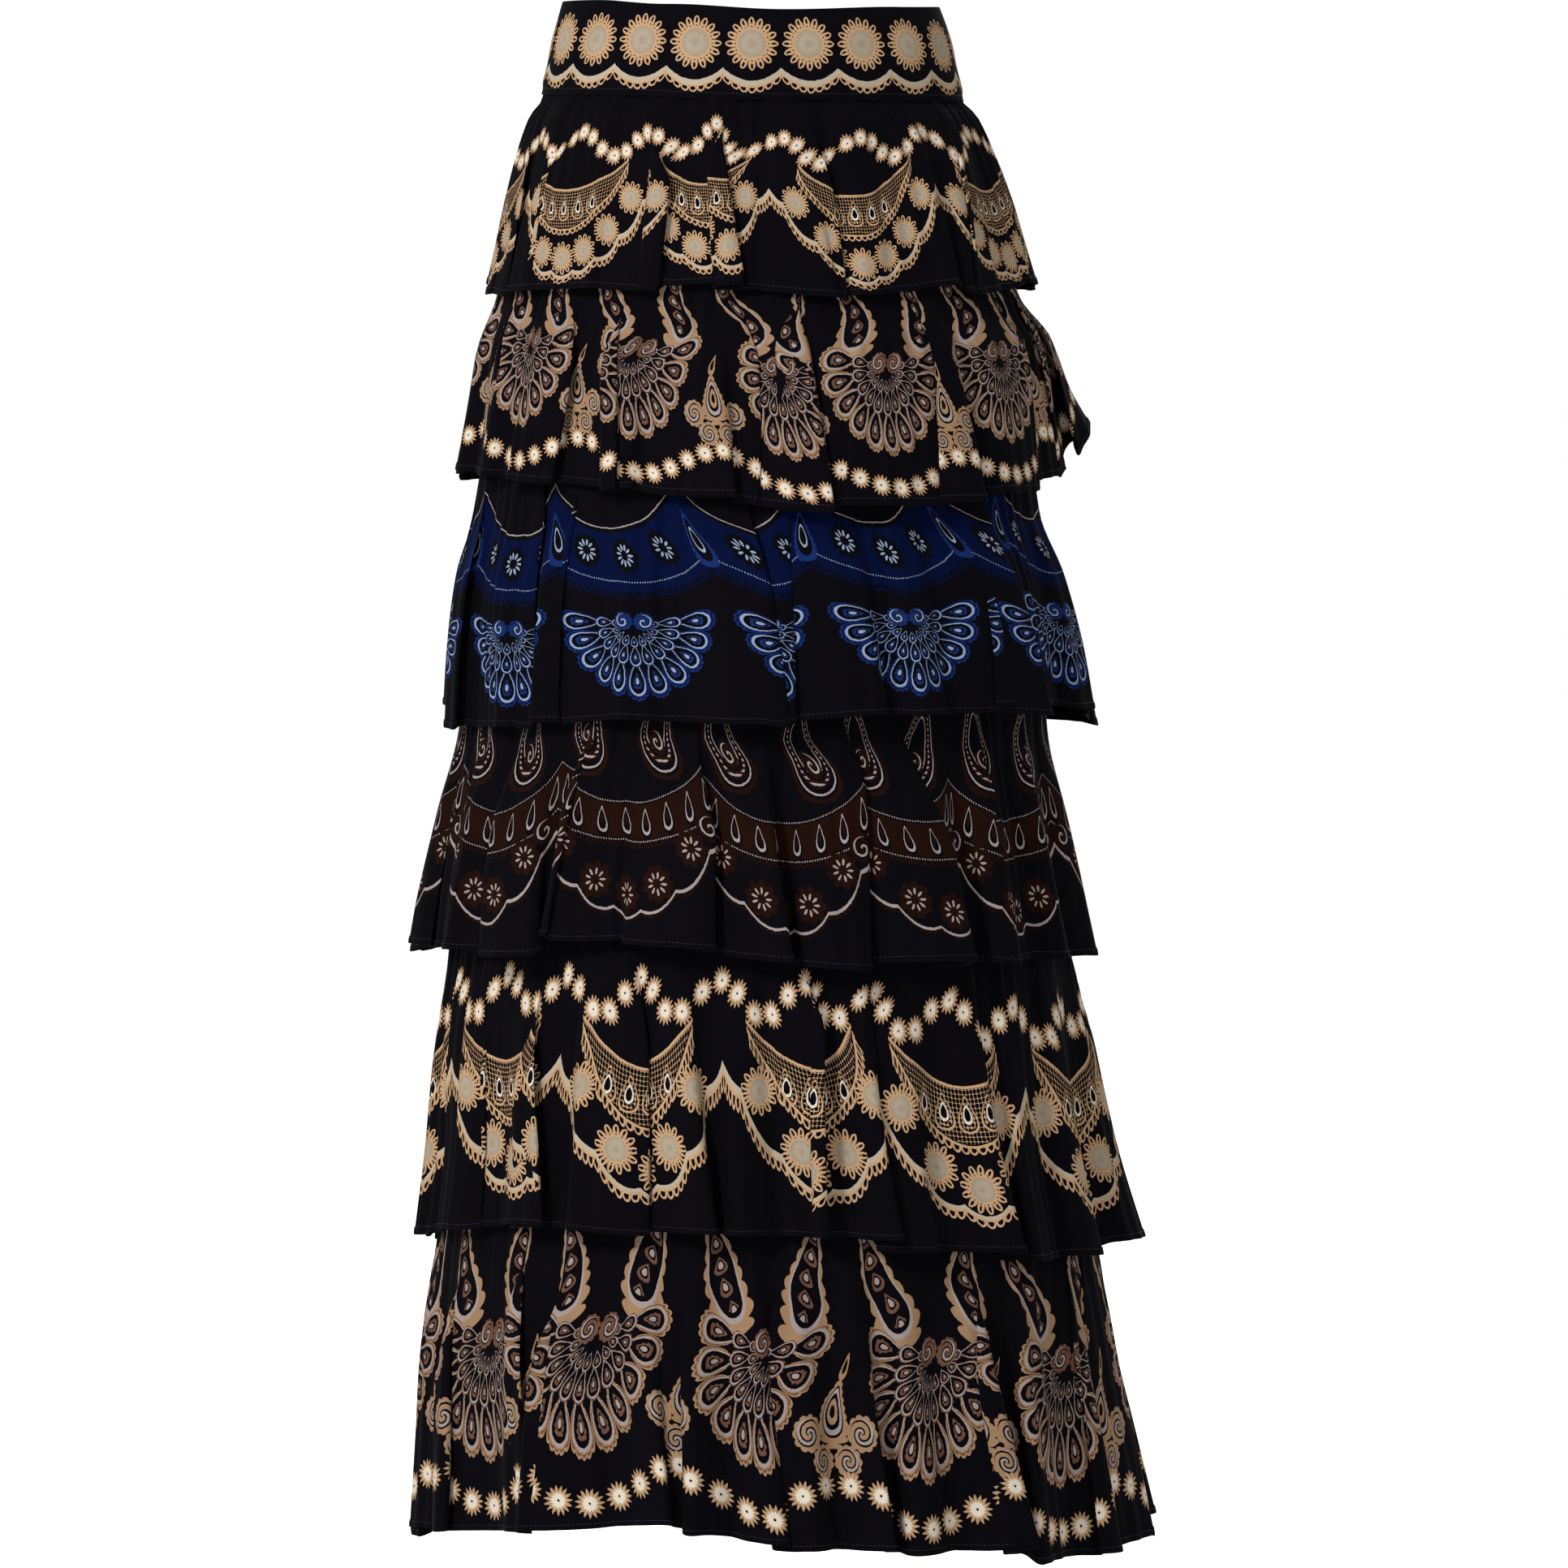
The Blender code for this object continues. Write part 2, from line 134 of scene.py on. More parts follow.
TIERS = (
    Tier(
        "tier_1",
        (
            Ring(-0.0255, 0.1382, 0.000, 0.0007), Ring(-0.0350, 0.1404, 0.000, 0.0008),
            Ring(-0.0450, 0.1483, 0.001, 0.0016), Ring(-0.0950, 0.1660, 0.003, 0.0024),
            Ring(-0.1605, 0.1820, 0.004, 0.0026),
        ),
        (
            Fold(-80, 1.0, 0.00, 0.004), Fold(-60, 0.7, 0.00, 0.001), Fold(-41, 1.0, 0.20, -0.001),
            Fold(-26, 0.7, 0.00, -0.001), Fold(-11, 1.3, 0.30, -0.006), Fold(9, 1.2, 0.30, 0.005),
            Fold(27, 1.0, -0.20, 0.004), Fold(41, 0.9, 0.20, -0.003), Fold(58, 1.1, -0.25, 0.003),
            Fold(79, 1.0, 0.00, -0.003),
        ),
        (Flare(94, 0.005, -0.003, 14),),
        400, 30, 9,
    ),
    Tier(
        "tier_2",
        (
            Ring(-0.1350, 0.1665, 0.004, 0.0010), Ring(-0.1700, 0.1752, 0.004, 0.0014),
            Ring(-0.1980, 0.1880, 0.006, 0.0030), Ring(-0.2400, 0.1948, 0.006, 0.0045),
            Ring(-0.2823, 0.2010, 0.005, 0.0055),
        ),
        (
            Fold(-82, 0.9, 0.00, -0.001), Fold(-66, 0.7, 0.00, 0.002), Fold(-50, 1.0, -0.20, 0.004),
            Fold(-31, 1.1, 0.20, 0.008), Fold(-14, 1.3, 0.35, 0.014), Fold(6, 1.2, 0.35, 0.024),
            Fold(22, 0.9, -0.20, 0.020), Fold(39, 1.2, 0.30, 0.019), Fold(54, 0.8, -0.20, 0.013),
            Fold(74, 0.6, 0.20, 0.003),
        ),
        (Flare(103, 0.023, -0.034, 12),),
        430, 32, 12,
    ),
    Tier(
        "tier_3",
        (
            Ring(-0.2350, 0.1815, 0.004, 0.0010), Ring(-0.3100, 0.1893, 0.003, 0.0018),
            Ring(-0.3550, 0.2020, 0.005, 0.0045), Ring(-0.4050, 0.2098, 0.008, 0.0060),
            Ring(-0.4495, 0.2140, 0.010, 0.0066),
        ),
        (
            Fold(-80, 0.9, 0.00, 0.004), Fold(-57, 0.9, 0.20, 0.001), Fold(-41, 1.0, -0.25, -0.003),
            Fold(-26, 0.8, 0.00, -0.006), Fold(-8, 1.3, 0.35, -0.004), Fold(6, 0.9, -0.10, -0.004),
            Fold(17, 1.0, 0.20, -0.010), Fold(29, 0.8, 0.00, -0.009), Fold(42, 1.4, 0.35, -0.009),
            Fold(59, 0.9, -0.20, -0.015), Fold(79, 1.0, 0.00, -0.009),
        ),
        (Flare(98, 0.008, 0.002, 14),),
        450, 37, 13,
    ),
    Tier(
        "tier_4",
        (
            Ring(-0.4050, 0.1915, 0.003, 0.0010), Ring(-0.4600, 0.1975, 0.001, 0.0018),
            Ring(-0.5100, 0.2085, 0.000, 0.0050), Ring(-0.5650, 0.2190, 0.000, 0.0068),
            Ring(-0.6044, 0.2255, 0.001, 0.0080),
        ),
        (
            Fold(-80, 1.0, 0.00, -0.006), Fold(-63, 0.8, 0.00, -0.005), Fold(-45, 1.2, 0.30, -0.004),
            Fold(-31, 0.9, -0.30, -0.018), Fold(-17, 0.9, 0.00, -0.013), Fold(0, 1.3, 0.35, -0.002),
            Fold(12, 0.9, -0.10, 0.001), Fold(23, 1.2, 0.35, -0.002), Fold(36, 0.9, 0.00, 0.003),
            Fold(49, 1.1, -0.20, 0.001), Fold(65, 0.8, 0.00, 0.001), Fold(81, 1.0, 0.00, 0.003),
        ),
        (),
        470, 36, 12,
    ),
    Tier(
        "tier_5",
        (
            Ring(-0.5600, 0.2020, 0.004, 0.0010), Ring(-0.6170, 0.2100, 0.005, 0.0018),
            Ring(-0.6750, 0.2180, 0.006, 0.0045), Ring(-0.7350, 0.2240, 0.009, 0.0068),
            Ring(-0.7977, 0.2345, 0.013, 0.0080),
        ),
        (
            Fold(-80, 0.7, 0.00, -0.004), Fold(-63, 0.7, 0.00, -0.011), Fold(-45, 1.0, 0.30, -0.019),
            Fold(-30, 0.9, -0.20, -0.017), Fold(-15, 1.3, 0.35, -0.017), Fold(-3, 0.9, 0.00, -0.015),
            Fold(7, 0.9, -0.20, -0.015), Fold(17, 1.3, 0.35, -0.012), Fold(27, 0.9, -0.10, -0.003),
            Fold(38, 1.4, 0.35, -0.001), Fold(52, 0.9, -0.25, 0.007), Fold(66, 1.0, 0.00, 0.007),
            Fold(81, 1.0, 0.00, 0.002),
        ),
        (Flare(99, 0.011, -0.004, 14),),
        490, 40, 11,
    ),
    Tier(
        "tier_6",
        (
            Ring(-0.7550, 0.2120, 0.009, 0.0010), Ring(-0.8100, 0.2225, 0.011, 0.0016),
            Ring(-0.8650, 0.2290, 0.012, 0.0045), Ring(-0.9350, 0.2355, 0.017, 0.0075),
            Ring(-0.9975, 0.2415, 0.021, 0.0095),
        ),
        (
            Fold(-80, 0.9, 0.00, -0.006), Fold(-64, 0.8, 0.00, -0.008), Fold(-47, 1.0, 0.30, -0.014),
            Fold(-34, 0.9, -0.20, -0.017), Fold(-22, 1.0, 0.30, -0.024), Fold(-12, 0.8, -0.20, -0.018),
            Fold(-3, 1.2, 0.35, -0.012), Fold(6, 0.9, 0.00, -0.008), Fold(14, 1.2, 0.30, -0.007),
            Fold(23, 1.0, -0.25, -0.003), Fold(36, 1.3, 0.35, -0.005), Fold(50, 1.2, -0.35, 0.007),
            Fold(64, 0.8, 0.00, 0.006), Fold(80, 1.0, 0.00, 0.001),
        ),
        (Flare(96, 0.006, -0.003, 14),),
        520, 41, 12,
    ),
)

# What each soft pipe's measures are drawn between: its height and lean, in shares of a full pipe's height and
# of its width, how far down the strip it starts, and how much lower its hem hangs. A lapped pipe's have how
# far down it is full before the last.
PLAIN_PIPE = ((0.15, 0.55), (-0.25, 0.25), (0.0, 0.4), (-0.0008, 0.0008))
LAPPED_PIPE = ((0.8, 1.0), (0.72, 0.95), (0.02, 0.12), (0.4, 0.7), (0.0005, 0.003))
LAPS_TO_THE_RIGHT = 0.55  # the share of them
PIPE_DRIFT = 1.6  # how many degrees the pipes wander on their way down

# How much steeper a line looks on the gathered cloth than it is printed
DRAWN_IN = 1.15

# How much of the print is spread by each row's own length, and how much its height is stretched
PRINT_EVENED = 0.8
PRINT_RAISED = 1.01

# How many points of half of a hem its length is measured between
HEM_SAMPLES = 9001

# How much more than in the solids the crests of the folds tip over, so that some lap over their neighbours
LEAN_MORE = 1.3

# Where the rows of points stand above the lower edge of a narrow hem, in shares of the hem's depth, and how
# far the rolled cloth stands out there, from 0 to 1
HEM_ROWS = ((0.0, 0.45), (0.14, 0.9), (0.45, 1.0), (0.8, 0.95), (1.0, 0.5), (1.15, 0.0))
HEM_STITCHES = 0.8  # which of those rows the hem is sewn along

# How much larger the underskirt's leans are on their curve, which is drawn between 0 and 1
CURVE_UNIT = 20

# How far the stitched lines stand off the cloth
STITCH_LIFT = 0.0001

# How far the edges of the prints stray from their lines, in metres, and a distance past all of a print
PRINT_STRAY = 0.0009
FAR_AWAY = 1000

# The studio, in metres and watts. A lamp is its name, place, aim, size and power.
FLOOR_HEIGHT = -1.12
FLOOR_REACH = 60
SKY_STRENGTH = 1.02
LAMPS = (
    ("key", (-2.5, -3.4, 1.9), (0, 0, -0.35), 1.1, 345),
    ("fill", (3.4, -3.6, 0.8), (0, 0, -0.4), 2.6, 22),
    ("back", (0.8, 4.4, 2.0), (0, 0, -0.5), 2.2, 110),
)
CAMERA_PLACE = (0.0218, -8, -0.1)
CAMERA_AIM = (0.0218, 0, -0.4936)
CAMERA_LENS = 273.3  # in millimetres, on a sensor 36 mm wide


# What a user would change


def metres(name, description, default):
    return FloatProperty(
        name=name, description=description, default=default, subtype="DISTANCE", unit="LENGTH"
    )


class SkirtSizes(bpy.types.PropertyGroup):
    cloth_thickness: metres("Cloth", "Thickness of the crepe", 0.0006)
    hem_depth: metres("Hem depth", "Depth of the narrow rolled hems", 0.005)
    pipe_width: metres("Pipe width", "Width of the soft pipes at a flounce's hem", 0.030)
    pipe_height: metres("Pipe height", "How far the pipes stand out at the hem", 0.0036)
    laps: FloatProperty(
        name="Laps", description="Share of the pipes that lap over the cloth beside them",
        default=0.36, min=0, max=0.5, subtype="FACTOR",
    )
    gather_width: metres("Gather width", "Width of the fine gathers at a seam", 0.0072)
    gather_height: metres("Gather height", "How far the gathers stand out at a seam", 0.0016)
    gather_length: metres("Gather length", "How far below a seam the gathers fade", 0.058)
    ripple_width: metres("Ripple width", "Width of the soft ripples all the way down", 0.020)
    ripple_height: metres("Ripple height", "How far the ripples stand out", 0.0010)
    band_thickness: metres("Waistband", "Thickness of the doubled waistband", 0.0020)
    stitch_length: metres("Stitch", "Length of one stitch", 0.0023)
    stitch_pitch: metres("Stitch pitch", "From one stitch to the next", 0.0030)
    thread_thickness: metres("Thread", "Thickness of the sewing thread", 0.00035)
    underskirt_columns: IntProperty(
        name="Underskirt columns", description="Points round the underskirt", default=240, min=24
    )


def ink(name, description, colour):
    return FloatVectorProperty(
        name=name, description=description, default=colour, size=3, min=0, max=1, subtype="COLOR"
    )


class SkirtColours(bpy.types.PropertyGroup):
    cloth: ink("Cloth", "The black crepe between the prints", (0.0011, 0.0009, 0.0015))
    tan: ink("Tan", "Ink of the rosettes and lace", (0.215, 0.133, 0.072))
    fringe: ink("Fringe", "The daisies' jagged fringes", (0.190, 0.118, 0.064))
    sand: ink("Sand", "Ink of the fans' scalloped rims and the scrolls", (0.138, 0.083, 0.046))
    disc: ink("Disc", "Ink of the rosettes' discs", (0.142, 0.112, 0.078))
    pale: ink("Pale", "Ink of the scalloped lines", (0.185, 0.160, 0.122))
    white: ink("White", "Ink of the daisies and outlines", (0.300, 0.268, 0.222))
    brown: ink("Brown", "Ink of the fans' inner petals", (0.058, 0.028, 0.017))
    mauve: ink("Mauve", "Ink of the pale lines in the fans", (0.140, 0.116, 0.110))
    cobalt: ink("Cobalt", "Ink of the blue band", (0.0005, 0.0018, 0.0130))
    blue: ink("Blue", "Ink of the blue fans", (0.0030, 0.0100, 0.0520))
    ice: ink("Ice", "Ink of the pale lines in the blue fans", (0.110, 0.138, 0.190))
    rust: ink("Rust", "Ink of the rust-brown bands", (0.0058, 0.0017, 0.0009))
    lining: ink("Lining", "The underskirt's lining cloth", (0.0024, 0.0022, 0.0028))
    thread: ink("Thread", "The sewing thread", (0.0050, 0.0044, 0.0060))
    floor: ink("Floor", "The studio's floor", (0.980, 0.980, 0.980))


# The cloth's shapes


def between(start, end, share):
    return start + (end - start) * share


def eased(share):
    return (1 - np.cos(np.pi * np.clip(share, 0, 1))) / 2


def smooth(at, heights, values):
    """Values at heights between a table's rows, from its top down, on a curve that never overshoots."""
    h, v = np.array(heights)[::-1], np.array(values)[::-1]
    slopes = np.diff(v) / np.diff(h)
    both, total = slopes[1:] * slopes[:-1], slopes[1:] + slopes[:-1]
    middle = np.divide(2 * both, total, out=np.zeros_like(both), where=both > 0)
    tangent = np.concatenate(([slopes[0]], middle, [slopes[-1]]))
    k = np.clip(np.searchsorted(h, at, side="right") - 1, 0, len(h) - 2)
    step = h[k + 1] - h[k]
    t = (at - h[k]) / step
    start, end = v[k], v[k + 1]
    curve = start + (end - start) * t * t * (3 - 2 * t)
    return curve + step * t * (1 - t) * (tangent[k] * (1 - t) - tangent[k + 1] * t)


def ring_at(rings, height):
    """Half width, centre and fold of the cloth at heights."""
    heights = [ring.height for ring in rings]
    return [smooth(height, heights, [ring[part] for ring in rings]) for part in (1, 2, 3)]


def edge_height(edge, turn):
    """The height of an edge at turns, eased from one of its points to the next."""
    turn = (turn + 90) % 360 - 90
    turns, heights = np.array(edge).T
    k = np.clip(np.searchsorted(turns, turn, side="right") - 1, 0, len(turns) - 2)
    share = (turn - turns[k]) / (turns[k + 1] - turns[k])
    return between(heights[k], heights[k + 1], eased(share))


def on_ring(half_width, centre, turn, height):
    """Points at turns on a ring, stacked as x, y, z."""
    deep = half_width - FLATTER_AT_WAIST + FLATTER_PER_METRE * height
    angle = np.radians(turn)
    x, y, z = centre + half_width * np.sin(angle), -deep * np.cos(angle), height
    return np.stack(np.broadcast_arrays(x, y, z), axis=-1)


def fold_edges(folds):
    """Where each fold starts, and where the last ends: the turn, the valley's depth and the hem's drop."""
    side_drop = (folds[0].drop + folds[-1].drop) / 2
    edges = [(-90, SIDE_SEAM_VALLEY, side_drop)]
    for left, right in zip(folds, folds[1:]):
        valley = min(1, (left.depth + right.depth) / 2)
        edges.append(((left.turn + right.turn) / 2, valley, (left.drop + right.drop) / 2))
    edges.append((90, SIDE_SEAM_VALLEY, side_drop))
    return np.array(edges)


def fold_wave(folds, turn):
    """The wave from -1 to 1, the lean in degrees and the drop of the folds at turns. The back's are the
    front's again."""
    turn = (turn + 90) % 180 - 90
    edges = fold_edges(folds)
    k = np.clip(np.searchsorted(edges[:, 0], turn, side="right") - 1, 0, len(folds) - 1)
    width = edges[k + 1, 0] - edges[k, 0]
    share = (turn - edges[k, 0]) / width
    crest = (1 - np.cos(2 * np.pi * share)) / 2
    _, depth, lean, drop = np.array(folds).T[:, k]
    valley, edge_drop = (between(edges[k, part], edges[k + 1, part], share) for part in (1, 2))
    wave = crest * depth - (1 - crest) * valley
    return wave, LEAN_MORE * lean * crest * width, between(edge_drop, drop, crest)


def flared(flares, turn):
    """How far the flares move the hem out and down at turns."""
    reach = drop = np.zeros_like(turn)
    for flare in flares:
        away = np.abs((turn - flare.turn + 180) % 360 - 180) / flare.spread
        share = eased(1 - away / 2)
        reach = reach + flare.reach * share
        drop = drop + flare.drop * share
    return reach, drop


def cells(turn, count, rng, uneven):
    """Splits the way round into cells of uneven width. Returns each turn's cell, its share across it, and the
    cell's width in degrees."""
    starts = (np.arange(count) + uneven * rng.uniform(-0.5, 0.5, count)) * 360 / count
    starts = np.concatenate((starts, [starts[0] + 360]))
    turn = (turn - starts[0]) % 360 + starts[0]
    k = np.clip(np.searchsorted(starts, turn, side="right") - 1, 0, count - 1)
    width = starts[k + 1] - starts[k]
    return k, (turn - starts[k]) / width, width


def pipes(tier, turn, grown, sizes, seed):
    """Soft pipes that grow towards the hem. Some lap over the cloth beside them nearly all the way up.
    Returns how far they stand out, how far they are moved aside, in degrees, and how much lower they hang."""
    rng = np.random.default_rng(seed)
    count = round(2 * math.pi * tier.rings[-1].half_width / sizes.pipe_width)
    drift = PIPE_DRIFT * (1 - grown) * np.sin(np.radians(turn) * 4 + seed)
    k, share, width = cells(turn + drift, count, rng, 0.8)
    height, lean, start, drop = (rng.uniform(*span, count) for span in PLAIN_PIPE)
    end = np.ones(count)
    lapped = np.zeros(count, dtype=bool)
    for cell in rng.permutation(count):
        near = lapped[cell] or lapped[cell - 1] or lapped[(cell + 1) % count]
        if near or lapped.sum() >= sizes.laps * count:
            continue
        way = 1 if rng.random() < LAPS_TO_THE_RIGHT else -1
        over = (cell + way) % count
        lapped[cell] = True
        height[cell], tip, start[cell], end[cell], drop[cell] = (rng.uniform(*span) for span in LAPPED_PIPE)
        lean[cell] = way * tip
        height[over], lean[over] = min(height[over], 0.3), way * 0.15
    size = eased((grown - start[k]) / (end[k] - start[k]))
    out = sizes.pipe_height * height[k] * np.abs(np.sin(np.pi * share)) ** 0.9 * size
    crest = (1 - np.cos(2 * np.pi * share)) / 2
    return out - 0.3 * sizes.pipe_height * grown, lean[k] * crest * width * size, drop[k] * crest * grown**2


def gathers(tier, turn, below, sizes, seed):
    """Fine gathers that stand out from the strip near its seam, and fade at uneven lengths."""
    rng = np.random.default_rng(seed + 50)
    count = round(2 * math.pi * tier.rings[0].half_width / sizes.gather_width)
    k, share, _ = cells(turn, count, rng, 0.7)
    height = sizes.gather_height * rng.uniform(0.3, 1.0, count)
    length = sizes.gather_length * rng.uniform(0.5, 1.5, count)
    free = between(0.35, 1, eased(below / 0.022))
    return height[k] * np.abs(np.sin(np.pi * share)) * np.exp(-((below / length[k]) ** 2)) * free


def ripples(tier, turn, grown, sizes, seed):
    """Soft uneven ripples that run down the whole strip. Layers that lap over each other have the same."""
    angle = np.radians(turn) + 0.03 * grown * np.sin(np.radians(turn) * 3 + seed)
    count = round(2 * math.pi * tier.rings[-1].half_width / sizes.ripple_width)
    strength = 0.6 + 0.4 * np.sin(5 * angle + seed) * np.sin(13 * angle + 2 * seed)
    return sizes.ripple_height * strength * np.sin(count * angle + 2.2 * np.sin(9 * angle + seed))


def row_shares(tier, sizes):
    """How far down the strip each row of points is, from 0 at the seam to 1 at the hem's edge, and how far
    the rolled hem stands out there."""
    length = tier.rings[0].height - tier.rings[-1].height
    hem = [(1 - above * sizes.hem_depth / length, roll) for above, roll in HEM_ROWS]
    plain = np.linspace(0, hem[-1][0], tier.rows - len(hem) + 1)[:-1]
    shares = [(share, 0.0) for share in plain] + hem[::-1]
    return np.array(shares).T


def flounce_points(tier, turn, grown, sizes, seed):
    """Points of a flounce at turns and at shares of the way down it."""
    top, length = tier.rings[0].height, tier.rings[0].height - tier.rings[-1].height
    level = top - grown * length
    half_width, centre, fold = ring_at(tier.rings, level)
    wave, lean, drop = fold_wave(tier.folds, turn)
    pipe, pipe_lean, pipe_drop = pipes(tier, turn, grown, sizes, seed)
    moved = turn + lean * grown + pipe_lean
    reach, flare_drop = flared(tier.flares, moved)
    out = wave * fold + reach * grown**2 + pipe + gathers(tier, turn, grown * length, sizes, seed)
    out = out + ripples(tier, moved, grown, sizes, seed)
    height = level - (drop + flare_drop) * grown**2 - pipe_drop
    return on_ring(half_width + out, centre, moved, height)


def even_turns(tier, sizes, seed):
    """Turns at which the columns stand evenly along the hem, with both side seams among them, how far along
    the hem each is, and the hem's length."""
    turns, along, start = [], [], 0.0
    for first in (-90, 90):
        fine = np.linspace(first, first + 180, HEM_SAMPLES)
        hem = flounce_points(tier, fine, np.ones_like(fine), sizes, seed)
        travelled = np.concatenate(([0], np.cumsum(np.linalg.norm(np.diff(hem, axis=0), axis=1))))
        even = np.linspace(0, travelled[-1], tier.columns + 1)[:-1]
        turns.append(np.interp(even, travelled, fine))
        along.append(start + even)
        start += travelled[-1]
    return np.concatenate(turns), np.concatenate(along), start


def outwards(points):
    """The level direction out of the cloth at each point of rows of points all round."""
    along = np.roll(points, -1, axis=1) - np.roll(points, 1, axis=1)
    out = np.stack((along[..., 1], -along[..., 0], np.zeros(along.shape[:2])), axis=-1)
    return out / np.linalg.norm(out, axis=-1, keepdims=True)


def evened(points, along, length, share):
    """How far along the cloth each point is, part by its column and part by its row's own length, so that the
    print is drawn in evenly where the cloth is gathered."""
    steps = np.linalg.norm(np.roll(points, -1, axis=1) - points, axis=2)
    travelled = np.cumsum(steps, axis=1)
    before = np.concatenate((np.zeros((len(points), 1)), travelled[:, :-1]), axis=1)
    by_row = before / travelled[:, -1:] * length
    return between(np.broadcast_to(along, by_row.shape), by_row, share)


def tube_mesh(name, points, u, v, length, closed_rows=False):
    """A mesh of quads between rows of points all round, its faces outwards, with a UV map in metres."""
    rows, columns = points.shape[:2]
    index = np.arange(rows * columns).reshape(rows, columns)
    if closed_rows:
        index = np.concatenate((index, index[:1]))
        v = np.concatenate((v, v[:1]))
    right = np.roll(index, -1, axis=1)
    quads = np.stack((index[:-1], index[1:], right[1:], right[:-1]), axis=-1).reshape(-1, 4)
    mesh = bpy.data.meshes.new(name)
    mesh.from_pydata(points.reshape(-1, 3).tolist(), [], quads.tolist())
    u_start = np.broadcast_to(u, v.shape)
    u_end = np.concatenate((u_start[:, 1:], np.full((len(v), 1), length)), axis=1)
    v_end = np.roll(v, -1, axis=1)
    corners = (
        (u_start[:-1], v[:-1]), (u_start[1:], v[1:]), (u_end[1:], v_end[1:]), (u_end[:-1], v_end[:-1]),
    )
    uv = np.stack([np.stack(corner, axis=-1) for corner in corners], axis=2)
    mesh.uv_layers.new(name="Cloth").data.foreach_set("uv", uv.astype(np.float32).ravel())
    mesh.polygons.foreach_set("use_smooth", np.ones(len(quads), dtype=bool))
    mesh.update()
    return mesh


def add_piece(name, mesh, material=None):
    mesh.materials.clear()
    if material:
        mesh.materials.append(material)
    piece = bpy.data.objects.new(name, mesh)
    bpy.context.scene.collection.objects.link(piece)
    return piece


def add_thickness(piece, thickness, weights=None):
    """Thickens a piece inwards. weights gives each point its share of the thickness."""
    shell = piece.modifiers.new("Thickness", "SOLIDIFY")
    shell.thickness = thickness
    shell.offset = -1
    if weights is not None:
        group = piece.vertex_groups.new(name="Thick")
        for weight in np.unique(weights):
            group.add(np.flatnonzero(weights == weight).tolist(), float(weight), "REPLACE")
        shell.vertex_group = group.name


def make_flounce(tier, number, sizes):
    """One flounce all round, from its seam down to its rolled hem. Returns the piece, its cut size and the
    line that its hem is stitched along."""
    turn, along, length = even_turns(tier, sizes, number)
    grown, roll = row_shares(tier, sizes)
    points = flounce_points(tier, turn[None, :], grown[:, None], sizes, number)
    out = outwards(points)
    points = points + out * (roll[:, None, None] * sizes.cloth_thickness)
    height_above = (points[:, :, 2] - points[-1:, :, 2]) * PRINT_RAISED
    mesh = tube_mesh(tier.name, points, evened(points, along, length, PRINT_EVENED), height_above, length)
    piece = add_piece(f"flounce_{number}", mesh)
    weights = np.repeat(np.round(0.5 + 0.5 * roll, 2), len(turn))
    add_thickness(piece, 2 * sizes.cloth_thickness, weights)
    cut = length, tier.rings[0].height - tier.rings[-1].height
    stitched = len(grown) - 1 - [above for above, _ in HEM_ROWS].index(HEM_STITCHES)
    return piece, cut, points[stitched] + out[stitched] * STITCH_LIFT


def band_sections(turn, thickness):
    """Rows of points round the waistband's section: its lower edge, up its inner face, its top edge and down
    its outer face. Returns the points and each one's height above the lower edge."""
    top, low = edge_height(BAND_TOP_EDGE, turn), edge_height(BAND_LOWER_EDGE, turn)
    radius = thickness / 2
    shares = np.linspace(0, 1, BAND_ROWS)
    section = [(share, 0.0, 0.0) for share in shares[::-1]]
    section += [(0.0, -radius + radius * math.cos(a), -radius * math.sin(a)) for a in BAND_EDGE_ANGLES]
    section += [(share, -thickness, 0.0) for share in shares[::2]]
    section += [(1.0, -radius - radius * math.cos(a), radius * math.sin(a)) for a in BAND_EDGE_ANGLES]
    rows, above = [], []
    angle = np.radians(turn)
    for share, inset, rise in reversed(section):
        straight = between(top - radius, low + radius, share)
        height = straight - rise
        half_width, centre, _ = ring_at(BAND_RINGS, straight)
        soft = BAND_WAVES[0] * np.sin(7 * angle + 9 * share) * np.sin(3 * angle + 2 * share + 1.3)
        soft = soft + BAND_WAVES[1] * np.sin(23 * angle + 4 * share) * share
        groove = -BAND_GROOVE * math.exp(-(((share - BAND_SEAM) / 0.016) ** 2)) if inset == 0 else 0
        tucked = -BAND_TUCK * math.exp(-(((share - 1) / 0.10) ** 2)) if inset > -thickness else 0
        out = soft * math.sin(math.pi * share) + groove + tucked
        rows.append(on_ring(half_width + inset + out, centre, turn, height))
        above.append(height - low)
    return np.array(rows), np.array(above)


def make_waistband(sizes):
    """The doubled waistband. Returns the piece, its length and the line that it is sewn along."""
    turn = np.linspace(-90, 270, BAND_COLUMNS, endpoint=False)
    points, above = band_sections(turn, sizes.band_thickness)
    middle = points[BAND_FACE + BAND_ROWS // 2]
    steps = np.linalg.norm(np.roll(middle, -1, axis=0) - middle, axis=1)
    along = np.concatenate(([0], np.cumsum(steps)[:-1]))
    mesh = tube_mesh("waistband", points, along[None, :], above, steps.sum(), closed_rows=True)
    seam = (points + outwards(points) * STITCH_LIFT)[BAND_FACE + BAND_ROWS - 2]
    return add_piece("waistband", mesh), steps.sum(), seam


# Nodes, and the sums that they work out


def feed(node, inputs):
    """Sets a node's inputs, by name or number: each to a value, or to the socket or sum that feeds it."""
    for key, value in inputs.items():
        source = value.socket if isinstance(value, Sum) else value
        if isinstance(source, bpy.types.NodeSocket):
            node.id_data.links.new(source, node.inputs[key])
        else:
            node.inputs[key].default_value = source


def add_node(tree, kind, inputs=None, **options):
    node = tree.nodes.new(kind)
    for name, value in options.items():
        setattr(node, name, value)
    feed(node, inputs or {})
    return node


